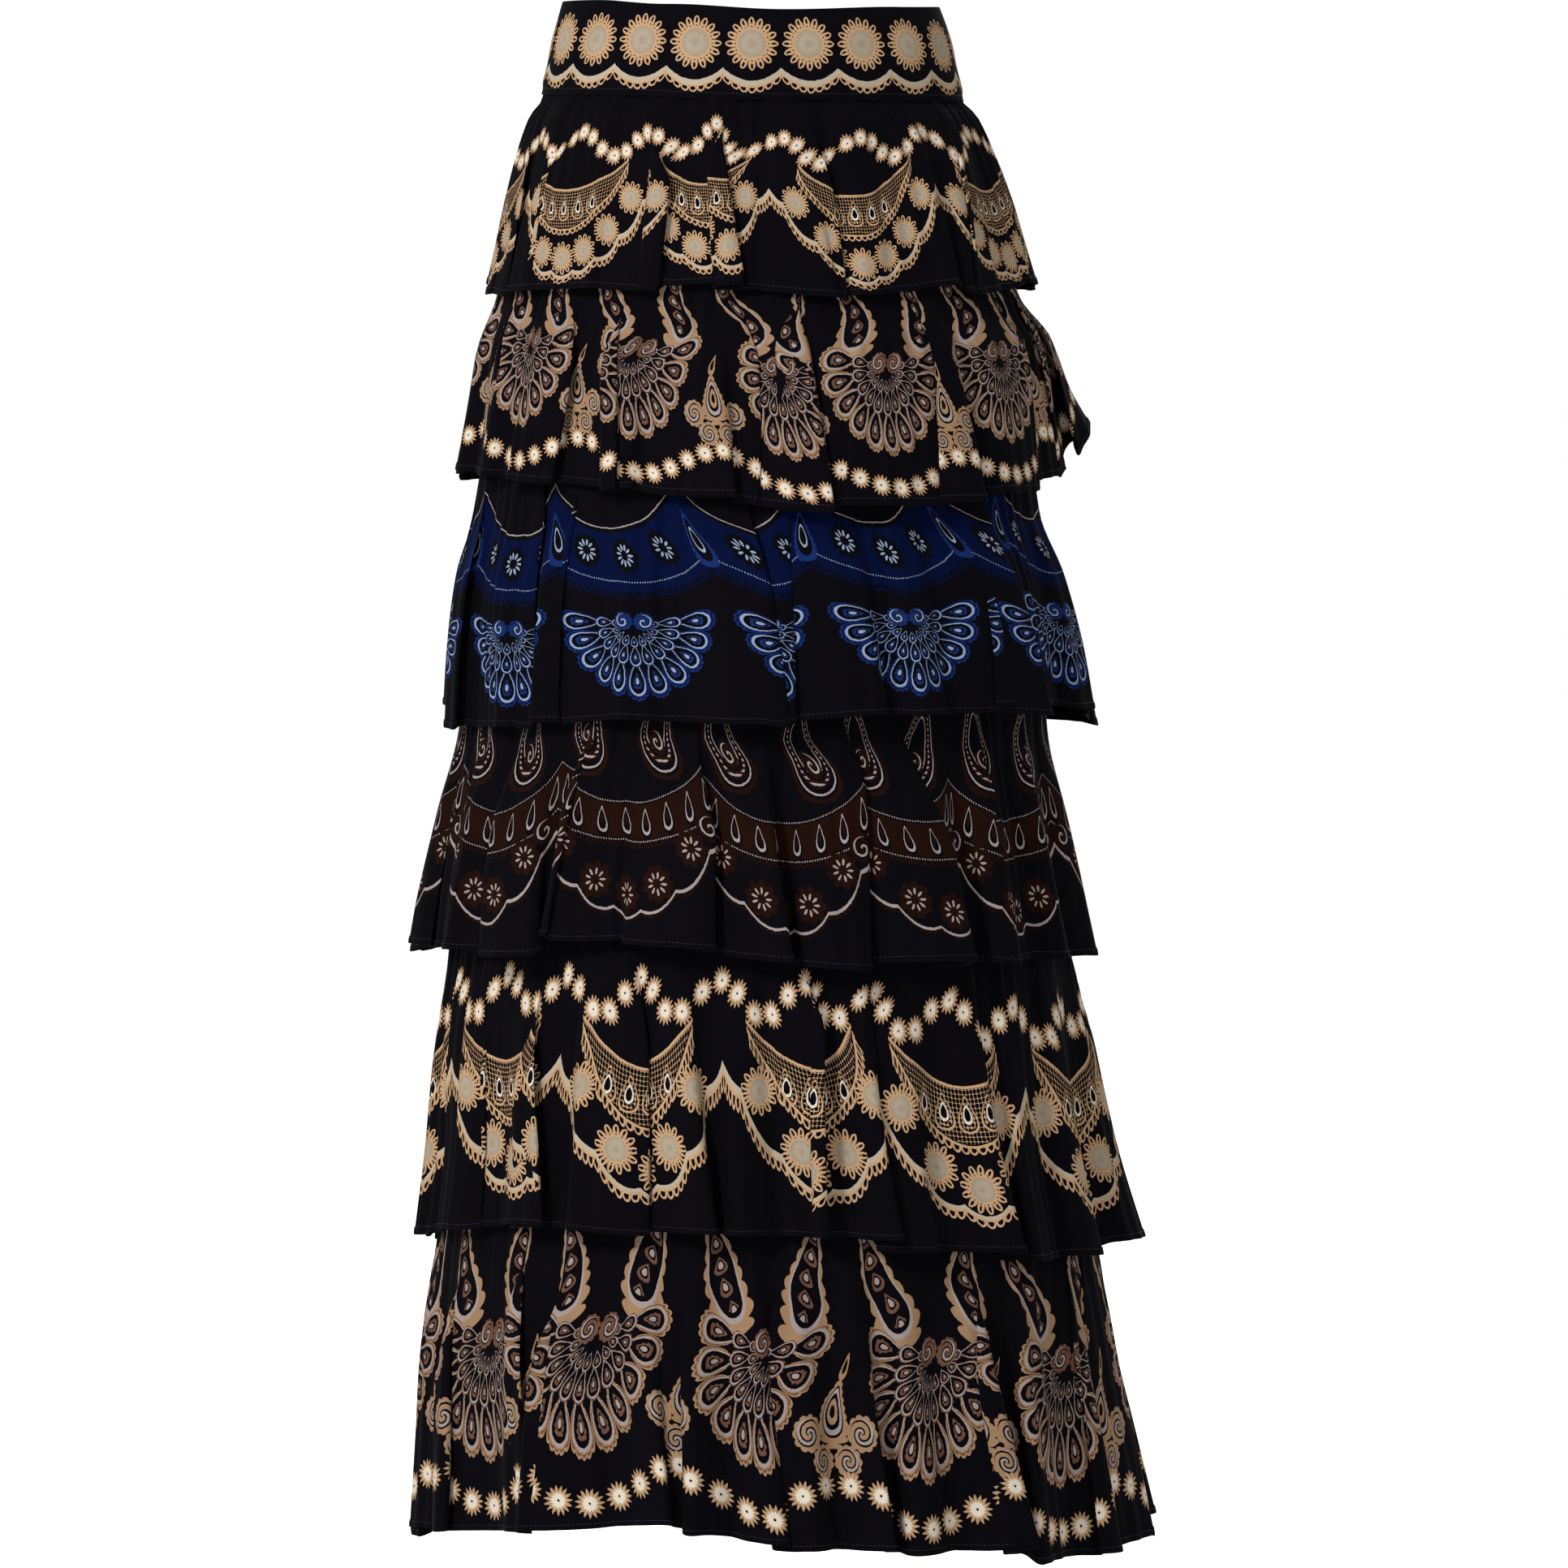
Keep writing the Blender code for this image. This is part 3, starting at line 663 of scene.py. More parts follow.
def operation(name, swapped=False):
    """A sign of a sum, such as +, that works out an operation of the Math node."""

    def work_out(self, *others):
        terms = (self, *others)
        return self.work(name, *(terms[::-1] if swapped else terms))

    return work_out


class Sum:
    """A number that nodes work out at each point of the cloth. Masks are sums that are 0 or 1."""

    def __init__(self, tree, socket):
        self.tree, self.socket = tree, socket

    def work(self, name, *terms):
        node = add_node(self.tree, "ShaderNodeMath", dict(enumerate(terms)), operation=name)
        return Sum(self.tree, node.outputs[0])

    __add__ = __radd__ = operation("ADD")
    __sub__ = operation("SUBTRACT")
    __rsub__ = operation("SUBTRACT", swapped=True)
    __mul__ = __rmul__ = __and__ = operation("MULTIPLY")
    __truediv__ = operation("DIVIDE")
    __abs__ = operation("ABSOLUTE")
    __lt__ = operation("LESS_THAN")
    __gt__ = operation("GREATER_THAN")
    __or__ = operation("MAXIMUM")


def repeat(value, pitch):
    """The distance from the nearest multiple of pitch."""
    return value.work("WRAP", value, pitch / 2, -pitch / 2)


def cosine(value, period):
    return value.work("COSINE", value * (2 * math.pi / period))


def distance(x, y):
    place = add_node(x.tree, "ShaderNodeCombineXYZ", {0: x, 1: y})
    length = add_node(x.tree, "ShaderNodeVectorMath", {0: place.outputs[0]}, operation="LENGTH")
    return Sum(x.tree, length.outputs["Value"])


# The prints, as sums on the cloth's UV map


def petals_of(x, y, count):
    """The distance from a flower's middle, and how far across its petal a point is, from -0.5 to 0.5."""
    around = x.work("ARCTAN2", y, x) * (count / (2 * math.pi))
    return distance(x, y), repeat(around, 1.0)


def lobed(value, pitch, depth):
    """Rounded scallops: 0 in the middle of each, and depth in the notches between them."""
    x = repeat(value, pitch)
    return x * x * (4 * depth / pitch**2)


def teardrop(x, y, width, height):
    """A drop with its point up, as a number that is 1 on its edge and less inside."""
    return distance(x / (0.5 * width * (0.80 - y * (1.1 / height))), y * (2 / height))


class Print:
    """The colours of a printed cloth, laid over each other from the ground up. u and v are in millimetres of
    a print of scale 1."""

    def __init__(self, tree, colours, scale, ground):
        self.tree, self.colours = tree, colours
        uv = add_node(tree, "ShaderNodeUVMap", uv_map="Cloth").outputs[0]
        parts = add_node(tree, "ShaderNodeSeparateXYZ", {0: uv})
        noise = add_node(tree, "ShaderNodeTexNoise", {"Vector": uv, "Scale": 420, "Detail": 1})
        stray = add_node(tree, "ShaderNodeSeparateColor", {0: noise.outputs["Color"]})
        self.u, self.v = (
            (Sum(tree, part) + (Sum(tree, aside) - 0.5) * PRINT_STRAY) * (1000 / scale)
            for part, aside in zip(parts.outputs[:2], stray.outputs[:2])
        )
        self.colour = add_node(tree, "ShaderNodeRGB").outputs[0]
        self.colour.default_value = (*getattr(colours, ground), 1)

    def lay(self, name, mask):
        """Lays an ink where the mask is 1."""
        colour = (*getattr(self.colours, name), 1)
        mix = add_node(self.tree, "ShaderNodeMix", {0: mask, 6: self.colour, 7: colour}, data_type="RGBA")
        self.colour = mix.outputs[2]

    def bands(self, value, *edges, where=1.0):
        """Inks laid one in the other, each where the value is below an edge."""
        for edge, name in edges:
            self.lay(name, (value < edge) & where)

    def rosette(self, x, y, size, petals):
        """A flower of looped petals, each with a slot, round a streaked disc."""
        away, petal = petals_of(x, y, petals)
        across = petal * away * (2 * math.pi / petals)
        finger = distance((away - 0.76 * size) * 0.55, across)
        self.lay("tan", (finger < 2.02 / petals * size) | (away < 0.64 * size))
        self.lay("cloth", distance((away - 0.83 * size) * 0.42, across) < 0.70 / petals * size)
        self.lay("cloth", distance(away - 0.635 * size, across) < 0.46 / petals * size)
        self.lay("disc", away < 0.52 * size)
        streak = abs(repeat(petal, 0.5)) + abs(away - 0.27 * size) * (0.55 / size)
        self.lay("pale", streak < 0.15)

    def fringed_daisy(self, x, y, size):
        """A white daisy with a jagged fringe and a dark dot."""
        away, petal = petals_of(x, y, 15)
        jag = abs(petal) * size
        self.lay("fringe", away < 1.16 * size - jag * 0.95)
        self.lay("white", away < 0.66 * size - jag * 0.40)
        self.lay("cloth", away < 0.10 * size)

    def thin_daisy(self, x, y, size, petals, ground, petal_ink):
        """A daisy of separate thin petals on a scalloped flower of the ground colour."""
        away, petal = petals_of(x, y, petals)
        across = petal * away * (2 * math.pi / petals)
        lobes = distance(away - 0.80 * size, across) < 2.6 / petals * size
        self.lay(ground, lobes | (away < 0.80 * size))
        long = (away - 0.47 * size) * 0.36
        self.lay(petal_ink, distance(long, across * (1.35 - away * (0.70 / size))) < 0.070 * size)

    def picots(self, above, along, pitch, name, where=1.0):
        """A row of small loops below a line."""
        loop = distance(repeat(along, pitch), above + 0.26 * pitch)
        self.lay(name, (loop < 0.50 * pitch) & (above < 0) & where)
        self.lay("cloth", (loop < 0.30 * pitch) & (above < -0.10 * pitch) & where)

    def line(self, above, width, name):
        self.lay(name, abs(above) < width / 2)

    def dotted(self, above, along, pitch, size, name):
        self.lay(name, distance(repeat(along, pitch), above) < size)

    def daisy_wave(self, pitch, period, middle, rise, size, squeeze=1.0):
        """A garland of daisies that rises and dips once in each period. squeeze is how far the cloth is drawn
        in there, and the daisies are printed that much wider."""
        x = repeat(self.u, pitch)
        wave = cosine(self.u - x, period)
        self.fringed_daisy(x * squeeze, self.v - (wave * rise + middle), size)

    def curl(self, x, y, size, rim, line):
        """A curl of a pale line on a scalloped ground."""
        away = distance(x, y)
        around = x.work("ARCTAN2", y, x) / (2 * math.pi)
        self.lay(rim, away + lobed(around, 1 / 11, 0.15 * size) < 1.20 * size)
        turns = abs(repeat(away / (0.78 * size) - around, 1.0))
        self.bands(turns, (0.30, "cloth"), (0.13, line), where=away < 0.92 * size)


class Swag:
    """A line that hangs in swags across a print: low in the middle of each, rising to a cusp between them."""

    def __init__(self, art, period, low, rise):
        self.art, self.period, self.low, self.bend = art, period, low, 4 * rise / period**2
        x = repeat(art.u, period)
        slope, steep = self.steepness(x)
        self.above = (art.v - (x * x * self.bend + low)) / steep
        turned = slope.work("LOGARITHM", slope + steep, math.e) / (2 * self.bend * DRAWN_IN)
        self.along = (x * steep + turned) / 2

    def steepness(self, x):
        """The line's slope, as it looks on the gathered cloth, and its length per metre across."""
        slope = x * (2 * self.bend * DRAWN_IN)
        return slope, slope.work("SQRT", slope * slope + 1)

    def beads(self, pitch, lift=0.0, reach=0.45):
        """The place in a motif that is repeated along the swag, lift above it: across it, and up. Motifs
        further from the swag's middle than reach, a share of its period, are left out."""
        x = repeat(self.art.u, pitch)
        base = repeat(self.art.u - x, self.period)
        _, steep = self.steepness(base)
        y = self.art.v - (base * base * self.bend + steep * lift + self.low)
        return x, y + (abs(base) > reach * self.period) * FAR_AWAY

    def scalloped(self, pitch, depth):
        """How far a point is above the swag where it is scalloped under each motif."""
        return self.above - lobed(self.art.u, pitch, depth)


def lace_print(art, period, low, count, squeeze):
    """Garlands of daisies, crescents of lace with drops, and rosettes above scalloped lines. low is how far
    above the hem they start, and count the scallops in each period."""
    art.daisy_wave(period / (count + 4), period / 2, low + 89, 8, 5.8, squeeze)

    upper = Swag(art, period, low + 58, 42.5)
    lower = Swag(art, period, low + 32.5, 92)
    tips = abs(repeat(art.u, period)) < 0.355 * period
    lace = (upper.above < 0) & (lower.above > 0) & tips
    mesh = cosine(upper.along, 4.2) * cosine(upper.above, 4.2)
    art.lay("tan", lace & (abs(mesh) < 0.11))
    x, y = upper.beads(period / (count + 4), -12.2, 0.21)
    drop = teardrop(x * 0.92, y, 10.2, 16)
    art.bands(drop, (1.06, "tan"), (0.93, "cloth"))
    art.lay("tan", (drop < 0.84) & (abs(mesh) < 0.28))
    art.bands(drop, (0.62, "cloth"), (0.55, "white"), (0.38, "cloth"))
    art.lay("tan", (abs(upper.above) < 0.6) & tips)
    edge = lower.above + 1.2
    art.lay("tan", (abs(edge) < 0.6) & tips)
    art.picots(edge, lower.along, 4.6, "tan", tips)

    pitch = period / count
    hem = Swag(art, period, low, 60)
    x, y = hem.beads(pitch, 12.5)
    art.rosette(x * 0.96, y, 10.7, 13)
    hang = hem.scalloped(pitch, 3.2)
    art.line(hang, 1.5, "pale")
    art.line(hang + 1.1, 0.8, "tan")
    art.picots(hang + 1.3, hem.along, 4.6, "tan")


def cell_row(art, around, away, size, step, count, place, cell, rim, inks):
    """A row of drop-shaped cells that point to a fan's middle, count of them each side of its middle one, and
    step degrees apart. place is the row's distance, cell a cell's width and height, and inks are those of the
    ground, the outlines, the seeds and the ground's edge."""
    angle = math.radians(step)
    where = abs(around) < (count + 0.5) * angle
    across = repeat(around, angle) * away
    width, height = cell[0] * size, cell[1] * size
    inward = away * -1 + place * size
    drop = teardrop(across, inward, width, height)
    edge = drop + lobed(around, angle / 5, 0.12)
    art.lay(inks[0], (edge < rim) & where)
    art.lay(inks[3], (abs(edge - rim + 0.16) < 0.05) & (drop > 1.06) & where)
    art.bands(drop, (1.0, inks[1]), (0.86, "cloth"), where=where)
    seed = teardrop(across, inward + 0.06 * height, 0.52 * width, 0.50 * height)
    fringe = lobed(inward, 0.13 * height, 0.25)
    art.lay(inks[2], (seed + fringe < 1.05) & where)
    art.bands(seed, (0.62, "cloth"), (0.40, inks[1]), where=where)


def leaf(art, x, y, width, height, rim, line, seed):
    """An upright leaf with a scalloped edge and a row of drops in it."""
    body = teardrop(x, y, width, height)
    art.lay(rim, body + lobed(y, height / 7, 0.20) < 1.32)
    art.bands(body, (1.0, line), (0.90, "cloth"))
    inside = body < 0.80
    step = 0.19 * height
    pod = teardrop(x, repeat(y, step), 0.44 * width, 0.82 * step)
    art.bands(pod, (1.0, seed), (0.66, "cloth"), (0.42, line), where=inside)


def fan(art, x, y, size, outer, inner, line, edge):
    """A fan of three rows of cells that opens downwards, under two curls."""
    x = x * (1.05 - y * (0.0045 / size))
    around = x.work("ARCTAN2", x, y * -1)
    away = distance(x, y)
    cell_row(art, around, away, size, 19.5, 5, 42, (13.8, 27), 1.30, (outer, line, inner, edge))
    cell_row(art, around, away, size, 19.5, 5, 24, (8, 16), 1.14, (inner, line, inner, edge))
    cell_row(art, around, away, size, 24, 4, 12.8, (5, 8.5), 1.12, (inner, line, inner, edge))
    art.curl(abs(x) - 7.2 * size, y - 3 * size, 6 * size, inner, line)


def scrolls(art, x, y, size, rim, line):
    """Curls each side of a bud, under a loop."""
    side = abs(x)
    art.curl(side - 0.78 * size, y + 0.02 * size, 0.34 * size, rim, line)
    art.curl(side - 0.36 * size, y + 0.62 * size, 0.30 * size, rim, line)
    bud = teardrop(x, y - 0.42 * size, 0.80 * size, 1.40 * size)
    art.lay(rim, bud + lobed(y, 0.17 * size, 0.16) < 1.14)
    art.bands(bud, (0.80, "cloth"), (0.72, line), (0.56, "cloth"), (0.40, rim), (0.20, "cloth"))
    loop = teardrop(x, y - 1.40 * size, 0.24 * size, 0.60 * size)
    art.bands(loop, (1.0, rim), (0.55, "cloth"))


def fan_print(art, period, daisies):
    """Large fans under pairs of leaves, with scrolls between them, above a garland of daisies. daisies is how
    many there are in each period."""
    x, y = repeat(art.u, period), art.v - 92
    side, rise = abs(x) - 40, y - 37
    across, up = side * 0.92 - rise * 0.40, rise * 0.92 + side * 0.40
    leaf(art, across, up, 29, 56, "sand", "mauve", "brown")
    fan(art, x, y, 1, "sand", "brown", "mauve", "brown")
    scrolls(art, repeat(art.u + period / 2, period), art.v - 56, 22.5, "sand", "mauve")
    art.daisy_wave(period / daisies, period, 21.5, -9.5, 6.4, 0.96)


def blue_print(art, period):
    """A cobalt band of daisies in swags, with a drop at each cusp, above blue fans."""
    band = Swag(art, period, 100, 24)
    art.lay("cobalt", abs(band.above) < 18.5)
    art.picots(band.above + 18.5, band.along, 5.8, "cobalt")
    art.dotted(band.above + 13, band.along, 1.9, 0.45, "ice")
    art.line(band.above - 21.5, 0.8, "mauve")
    x, y = band.beads(period / 4, 3.5)
    art.thin_daisy(x, y, 11, 11, "cloth", "ice")
    corner = teardrop(repeat(art.u + period / 2, period), art.v - 116, 18, 34)
    art.lay("blue", corner + lobed(art.v, 4.2, 0.14) < 1.10)
    art.bands(corner, (0.78, "cloth"), (0.46, "ice"), (0.36, "cloth"))
    x, y = repeat(art.u, period) * 0.82, (art.v - 60) * 1.12
    fan(art, x, y, 0.90, "blue", "blue", "ice", "cobalt")


def rust_print(art, period):
    """Paisleys over a swag of drops, and daisies above a white scalloped line, with curls at its cusps, in
    rust."""
    x = abs(repeat(art.u, period)) - period / 4
    y = art.v - 140
    rise = y + 30
    paisley = teardrop(x - rise * rise * 0.0032, y, 42, 66)
    art.lay("rust", paisley + lobed(y, 4.2, 0.06) < 1.12)
    art.bands(paisley, (1.0, "cloth"), (0.94, "mauve"), (0.90, "cloth"), (0.80, "rust"), (0.66, "cloth"))
    art.bands(paisley, (0.57, "mauve"), (0.53, "cloth"))
    art.lay("mauve", (abs(paisley - 0.73) < 0.028) & (abs(repeat(y, 3.4)) < 0.8))
    art.curl(x - 1, y + 12, 7.2, "rust", "mauve")

    lace = Swag(art, period, 76, 26)
    art.lay("rust", abs(lace.above) < 10.5)
    for side in (1, -1):
        art.dotted(lace.above + 12 * side, lace.along, 2, 0.5, "mauve")
    art.picots(lace.above + 12.5, lace.along, 5, "rust")
    drop = teardrop(repeat(lace.along, 20), lace.above, 8, 16.5)
    art.bands(drop, (1.25, "cloth"), (1.0, "mauve"), (0.78, "cloth"), (0.36, "rust"))

    pitch = period / 6
    hem = Swag(art, period, 16, 56)
    side = abs(repeat(art.u + period / 2, period)) - 9.5
    art.curl(side, art.v - 77, 7.8, "rust", "mauve")
    x, y = hem.beads(pitch, 15)
    art.thin_daisy(x, y, 11.2, 9, "rust", "mauve")
    hang = hem.scalloped(pitch, 4.2)
    art.picots(hang, hem.along, 4, "rust")
    art.line(hang, 1.6, "mauve")


def band_print(art, period):
    """A row of rosettes above a scalloped lace edge."""
    x = repeat(art.u, period)
    art.rosette(x, art.v - 37.5, 18, 16)
    hang = art.v - (lobed(x, period, 8.5) + 11.2)
    art.line(hang, 3.4, "pale")
    art.line(hang + 2.1, 1, "tan")
    art.picots(hang + 2.4, art.u, period / 7, "tan")


def new_material(name):
    """A material, its tree and its shader."""
    material = bpy.data.materials.new(name)
    material.use_nodes = True
    tree = material.node_tree
    return material, tree, tree.nodes["Principled BSDF"]


def noise(tree, scale, detail=2):
    """Noise from 0 to 1, by the place on the object."""
    place = add_node(tree, "ShaderNodeTexCoord").outputs["Object"]
    cloud = add_node(tree, "ShaderNodeTexNoise", {"Vector": place, "Scale": scale, "Detail": detail})
    return Sum(tree, cloud.outputs["Fac"])


def grey(tree, tone):
    return add_node(tree, "ShaderNodeCombineColor", {0: tone, 1: tone, 2: tone}).outputs[0]


def cloth_material(name, colours, ground, pattern=None, period=0):
    """Crepe cloth: its print, a fine crinkled weave and a faint sheen. pattern is a row of PRINTS, and period
    the width of one repeat."""
    material, tree, shader = new_material(name)
    art = Print(tree, colours, pattern.scale if pattern else 1, ground)
    if pattern:
        pattern.draw(art, period * 1000 / pattern.scale, *pattern.options)
    tones = {0: 1, 6: art.colour, 7: grey(tree, noise(tree, 26, 3) * 0.24 + 0.88)}
    worn = add_node(tree, "ShaderNodeMix", tones, data_type="RGBA", blend_type="MULTIPLY")
    crinkle = noise(tree, 900)
    height = crinkle + noise(tree, 210) * 1.4
    bump = add_node(tree, "ShaderNodeBump", {"Strength": 0.35, "Distance": 0.0004, "Height": height})
    feed(shader, {
        "Base Color": worn.outputs[2],
        "Normal": bump.outputs[0],
        "Roughness": crinkle * 0.16 + 0.74,
        "Specular IOR Level": 0.012,
        "Sheen Weight": 0.005,
        "Sheen Roughness": 0.45,
    })
    material.diffuse_color = (*colours.cloth, 1)
    return material


def thread_material(colours):
    """Thread whose colour goes up to twice as light along its twist."""
    material, tree, shader = new_material("sewing thread")
    dark, light = (*colours.thread, 1), (*(2 * part for part in colours.thread), 1)
    twist = add_node(tree, "ShaderNodeMix", {0: noise(tree, 1500), 6: dark, 7: light}, data_type="RGBA")
    feed(shader, {"Base Color": twist.outputs[2], "Roughness": 0.6, "Specular IOR Level": 0.2})
    return material


# The Geometry Nodes of the stitches and the underskirt


def new_tree(name, inputs):
    """A Geometry Nodes tree with named inputs, given as name, socket type and default. Returns the tree and
    the sockets that its inputs come from."""
    tree = bpy.data.node_groups.new(name, "GeometryNodeTree")
    tree.interface.new_socket("Geometry", in_out="OUTPUT", socket_type="NodeSocketGeometry")
    tree.interface.new_socket("Geometry", in_out="INPUT", socket_type="NodeSocketGeometry")
    for label, kind, default in inputs:
        socket = tree.interface.new_socket(label, in_out="INPUT", socket_type=kind)
        if default is not None:
            socket.default_value = default
    return tree, tree.nodes.new("NodeGroupInput").outputs


def ending(tree, geometry, material):
    """Realizes instances and sets the material, at the end of a tree."""
    realized = add_node(tree, "GeometryNodeRealizeInstances", {0: geometry}).outputs[0]
    paint = add_node(tree, "GeometryNodeSetMaterial", {"Geometry": realized, "Material": material})
    add_node(tree, "NodeGroupOutput", {0: paint.outputs[0]})


def stitch_tree(sizes):
    """Stitches laid end to end along the edges of a mesh."""
    tree, given = new_tree("Stitches along a line", (
        ("Pitch", "NodeSocketFloat", sizes.stitch_pitch),
        ("Length", "NodeSocketFloat", sizes.stitch_length),
        ("Thread", "NodeSocketFloat", sizes.thread_thickness),
        ("Material", "NodeSocketMaterial", None),
    ))
    curve = add_node(tree, "GeometryNodeMeshToCurve", {"Mesh": given["Geometry"]}).outputs[0]
    inputs = {"Curve": curve, "Length": given["Pitch"]}
    spots = add_node(tree, "GeometryNodeCurveToPoints", inputs, mode="LENGTH").outputs
    bead = add_node(tree, "GeometryNodeMeshIcoSphere", {"Radius": 0.5, "Subdivisions": 1})
    thread = given["Thread"]
    size = add_node(tree, "ShaderNodeCombineXYZ", {0: thread, 1: thread, 2: given["Length"]})
    stitches = add_node(tree, "GeometryNodeInstanceOnPoints", {
        "Points": spots["Points"],
        "Instance": bead.outputs["Mesh"],
        "Rotation": spots["Rotation"],
        "Scale": size.outputs[0],
    })
    ending(tree, stitches.outputs[0], given["Material"])
    return tree


def float_curve(tree, value, points):
    """A sum that follows straight lines between points."""
    node = add_node(tree, "ShaderNodeFloatCurve", {"Value": value})
    curve = node.mapping.curves[0]
    while len(curve.points) < len(points):
        curve.points.new(0.5, 0.5)
    for point, place in zip(curve.points, points):
        point.location = place
        point.handle_type = "VECTOR"
    node.mapping.use_clip = False
    node.mapping.update()
    return Sum(tree, node.outputs[0])


def underskirt_tree(rings):
    """A tube whose half width and lean follow curves down its height, flatter from front to back."""
    first, last = rings[0], rings[-1]
    tree, given = new_tree("Underskirt tube", (
        ("Columns", "NodeSocketInt", 240),
        ("Rows", "NodeSocketInt", UNDERSKIRT_ROWS),
        ("Top", "NodeSocketFloat", first.height),
        ("Hem", "NodeSocketFloat", last.height),
        ("Narrowest", "NodeSocketFloat", first.half_width),
        ("Widest", "NodeSocketFloat", last.half_width),
        ("Material", "NodeSocketMaterial", None),
    ))
    counts = {"Vertices X": given["Columns"], "Vertices Y": given["Rows"]}
    grid = add_node(tree, "GeometryNodeMeshGrid", {"Size X": 1, "Size Y": 1, **counts})
    position = add_node(tree, "GeometryNodeInputPosition").outputs[0]
    parts = add_node(tree, "ShaderNodeSeparateXYZ", {0: position})
    top, hem, narrowest, widest = (Sum(tree, given[name]) for name in ("Top", "Hem", "Narrowest", "Widest"))
    angle = Sum(tree, parts.outputs[0]) * (2 * math.pi)
    down = 0.5 - Sum(tree, parts.outputs[1])
    height = down * (hem - top) + top
    shares = [(first.height - ring.height) / (first.height - last.height) for ring in rings]
    widths = [(ring.half_width - first.half_width) / (last.half_width - first.half_width) for ring in rings]
    leans = [ring.centre * CURVE_UNIT for ring in rings]
    across = float_curve(tree, down, list(zip(shares, widths))) * (widest - narrowest) + narrowest
    lean = float_curve(tree, down, list(zip(shares, leans))) / CURVE_UNIT
    deep = across - FLATTER_AT_WAIST + height * FLATTER_PER_METRE
    x = across * angle.work("SINE", angle) + lean
    y = deep * angle.work("COSINE", angle) * -1
    where = add_node(tree, "ShaderNodeCombineXYZ", {0: x, 1: y, 2: height}).outputs[0]
    bent = add_node(tree, "GeometryNodeSetPosition", {"Geometry": grid.outputs["Mesh"], "Position": where})
    joined = add_node(tree, "GeometryNodeMergeByDistance", {0: bent.outputs[0], "Distance": 0.00005})
    smoothed = add_node(tree, "GeometryNodeSetShadeSmooth", {0: joined.outputs[0]})
    ending(tree, smoothed.outputs[0], given["Material"])
    return tree


def grown_mesh(name, base, tree, values):
    """Runs a tree on a base mesh with its inputs set, and returns the result as a plain mesh."""
    maker = bpy.data.objects.new(name, base)
    bpy.context.scene.collection.objects.link(maker)
    modifier = maker.modifiers.new(name, "NODES")
    modifier.node_group = tree
    for item in tree.interface.items_tree:
        if item.in_out == "INPUT" and item.name in values:
            modifier[item.identifier] = values[item.name]
    graph = bpy.context.evaluated_depsgraph_get()
    mesh = bpy.data.meshes.new_from_object(maker.evaluated_get(graph))
    bpy.data.objects.remove(maker, do_unlink=True)
    if not mesh.polygons:
        raise RuntimeError(f"{name} came out empty")
    return mesh


def line_mesh(name, loop):
    """Edges along a closed loop of points."""
    mesh = bpy.data.meshes.new(name)
    mesh.from_pydata(loop.tolist(), [(k, (k + 1) % len(loop)) for k in range(len(loop))], [])
    return mesh


# The operators that make the pieces and the stage


def settings():
    scene = bpy.context.scene
    return scene.skirt_sizes, scene.skirt_colours


def settle(piece, slot, *nodes):
    """Rides the piece on the skirt, in place of its solids. The slot is not used."""
    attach(piece, BODY)
    if nodes:
        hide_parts(*nodes)
    return piece


PRINTS = {
    "waistband": Pattern(1.0, band_print, ()),
    "tier_1": Pattern(1.0, lace_print, (8, 8, 0.72)),
    "tier_2": Pattern(1.0, fan_print, (10,)),
    "tier_3": Pattern(1.05, blue_print, ()),
    "tier_4": Pattern(1.05, rust_print, ()),
    "tier_5": Pattern(1.5, lace_print, (23 / 1.5, 6, 0.88)),
    "tier_6": Pattern(1.4, fan_print, (9,)),
}


def sew(name, line, slot, thread, tree):
    """Stitches along a closed line, as a piece that rides on the skirt."""
    mesh = grown_mesh(f"{name} stitches", line_mesh(f"{name} line", line), tree, {"Material": thread})
    return settle(add_piece(f"{name}_stitches", mesh, thread), slot)


class SKIRT_OT_waistband(bpy.types.Operator):
    """Makes the doubled waistband with its printed rosettes"""

    bl_idname = "skirt.waistband"
    bl_label = "Waistband"

    def execute(self, context):
        sizes, colours = settings()
        piece, length, seam = make_waistband(sizes)
        period = length / BAND_REPEATS
        material = cloth_material("waistband print", colours, "cloth", PRINTS["waistband"], period)
        piece.data.materials.append(material)
        settle(piece, "waistband", "waistband_front", "waistband_back")
        stitches = sew("waistband", seam, "waistband", thread_material(colours), stitch_tree(sizes))
        return {"FINISHED"}


class SKIRT_OT_underskirt(bpy.types.Operator):
    """Makes the plain black underskirt that carries the flounces"""

    bl_idname = "skirt.underskirt"
    bl_label = "Underskirt"

    def execute(self, context):
        sizes, colours = settings()
        material = cloth_material("underskirt lining", colours, "lining")
        values = {"Columns": sizes.underskirt_columns + 1, "Rows": UNDERSKIRT_ROWS, "Material": material}
        base, tree = bpy.data.meshes.new("underskirt base"), underskirt_tree(UNDERSKIRT_RINGS)
        piece = add_piece("underskirt", grown_mesh("underskirt", base, tree, values), material)
        add_thickness(piece, LINING_THICKNESS)
        settle(piece, "underskirt", "underskirt_front", "underskirt_back")
        return {"FINISHED"}


class SKIRT_OT_flounces(bpy.types.Operator):
    """Makes the six gathered and printed flounces, and sews their hems"""

    bl_idname = "skirt.flounces"
    bl_label = "Flounces"

    def execute(self, context):
        sizes, colours = settings()
        thread, tree = thread_material(colours), stitch_tree(sizes)
        for number, tier in enumerate(TIERS, start=1):
            piece, cut, hem_line = make_flounce(tier, number, sizes)
            period = cut[0] / tier.repeats
            material = cloth_material(f"{tier.name} print", colours, "cloth", PRINTS[tier.name], period)
            piece.data.materials.append(material)
            settle(piece, tier.name, f"{tier.name}_front", f"{tier.name}_back")
            stitches = sew(f"flounce_{number}", hem_line, tier.name, thread, tree)
        return {"FINISHED"}


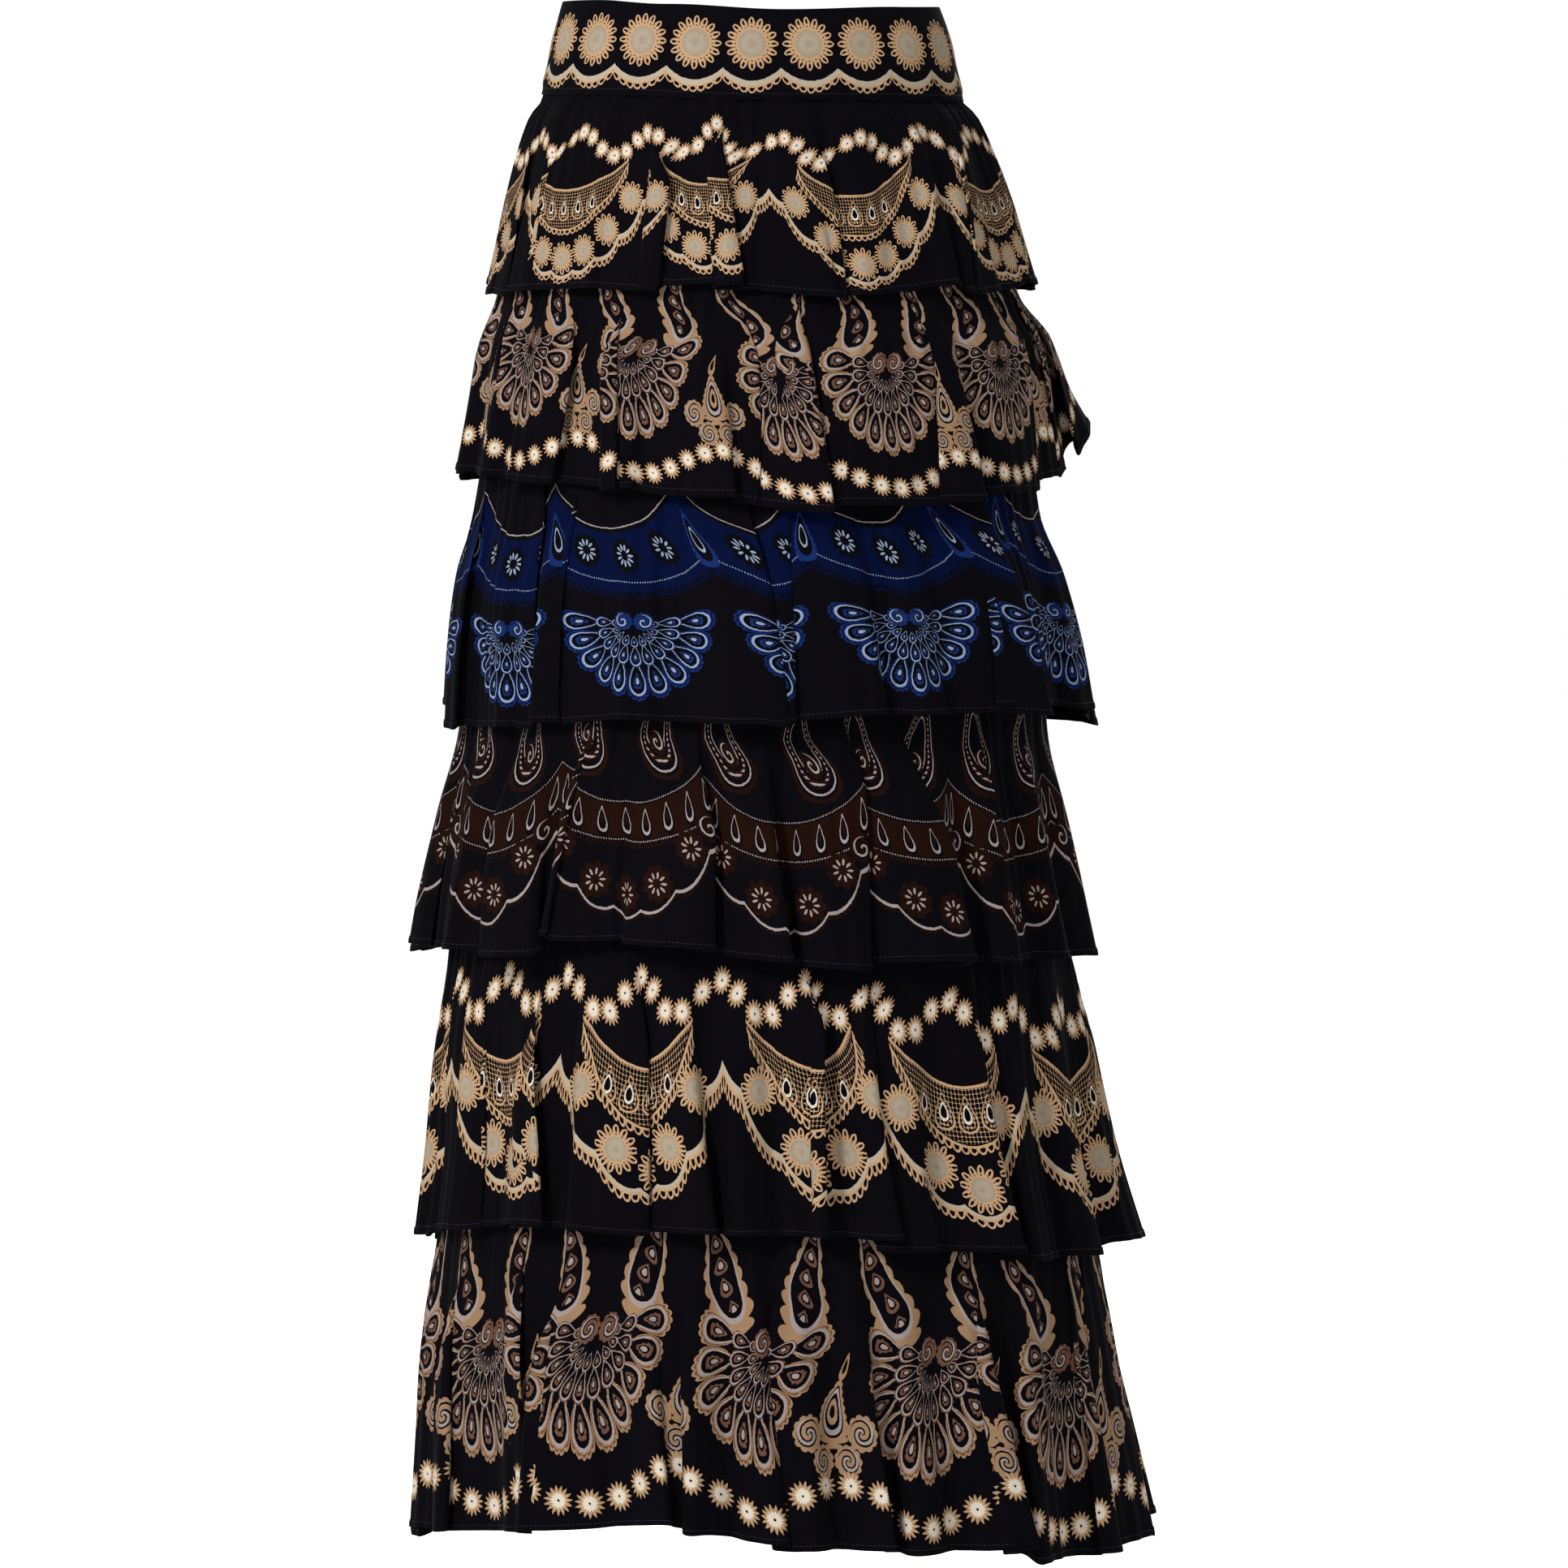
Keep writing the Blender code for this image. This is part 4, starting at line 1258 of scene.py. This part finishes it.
def aimed(name, data, place, aim):
    """Puts a lamp or a camera at a place, facing another."""
    thing = bpy.data.objects.new(name, data)
    thing.location = place
    thing.rotation_euler = (Vector(aim) - Vector(place)).to_track_quat("-Z", "Y").to_euler()
    bpy.context.scene.collection.objects.link(thing)
    return thing


class SKIRT_OT_stage(bpy.types.Operator):
    """Makes the studio: a pale floor, soft lights and the camera"""

    bl_idname = "skirt.stage"
    bl_label = "Studio"

    def execute(self, context):
        _, colours = settings()
        scene = context.scene
        material, tree, shader = new_material("studio floor")
        tone = noise(tree, 3) * 0.01 + (colours.floor[0] - 0.005)
        feed(shader, {"Base Color": grey(tree, tone), "Roughness": 0.9})
        mesh = bpy.data.meshes.new("floor")
        corners = ((-1, -1), (1, -1), (1, 1), (-1, 1))
        points = [(x * FLOOR_REACH, y * FLOOR_REACH, FLOOR_HEIGHT) for x, y in corners]
        mesh.from_pydata(points, [], [(0, 1, 2, 3)])
        floor = add_piece("floor", mesh, material)

        world = bpy.data.worlds.new("studio")
        world.use_nodes = True
        feed(world.node_tree.nodes["Background"], {"Color": (1, 1, 1, 1), "Strength": SKY_STRENGTH})
        scene.world = world
        for name, place, aim, size, power in LAMPS:
            lamp = bpy.data.lights.new(name, "AREA")
            lamp.shape, lamp.size, lamp.energy = "DISK", size, power
            aimed(name, lamp, place, aim)

        camera = bpy.data.cameras.new("camera")
        camera.lens, camera.sensor_width, camera.clip_end = CAMERA_LENS, 36, 200
        scene.camera = aimed("camera", camera, CAMERA_PLACE, CAMERA_AIM)
        scene.view_settings.view_transform = "Standard"
        return {"FINISHED"}


class SKIRT_PT_panel(bpy.types.Panel):
    bl_label = "Tiered maxi skirt"
    bl_idname = "SKIRT_PT_panel"
    bl_space_type = "VIEW_3D"
    bl_region_type = "UI"
    bl_category = "Skirt"

    def draw(self, context):
        for operator in OPERATORS:
            self.layout.operator(operator.bl_idname)
        for group in (context.scene.skirt_sizes, context.scene.skirt_colours):
            box = self.layout.box()
            for name in group.__annotations__:
                box.prop(group, name)


OPERATORS = (SKIRT_OT_waistband, SKIRT_OT_underskirt, SKIRT_OT_flounces, SKIRT_OT_stage)
CLASSES = (SkirtSizes, SkirtColours, *OPERATORS, SKIRT_PT_panel)


def register():
    for cls in CLASSES:
        bpy.utils.register_class(cls)
    bpy.types.Scene.skirt_sizes = PointerProperty(type=SkirtSizes)
    bpy.types.Scene.skirt_colours = PointerProperty(type=SkirtColours)


def unregister():
    del bpy.types.Scene.skirt_colours
    del bpy.types.Scene.skirt_sizes
    for cls in reversed(CLASSES):
        bpy.utils.unregister_class(cls)


def main():
    register()
    bpy.ops.skirt.waistband()
    bpy.ops.skirt.underskirt()
    bpy.ops.skirt.flounces()
    bpy.ops.skirt.stage()


if __name__ == "__main__":
    main()
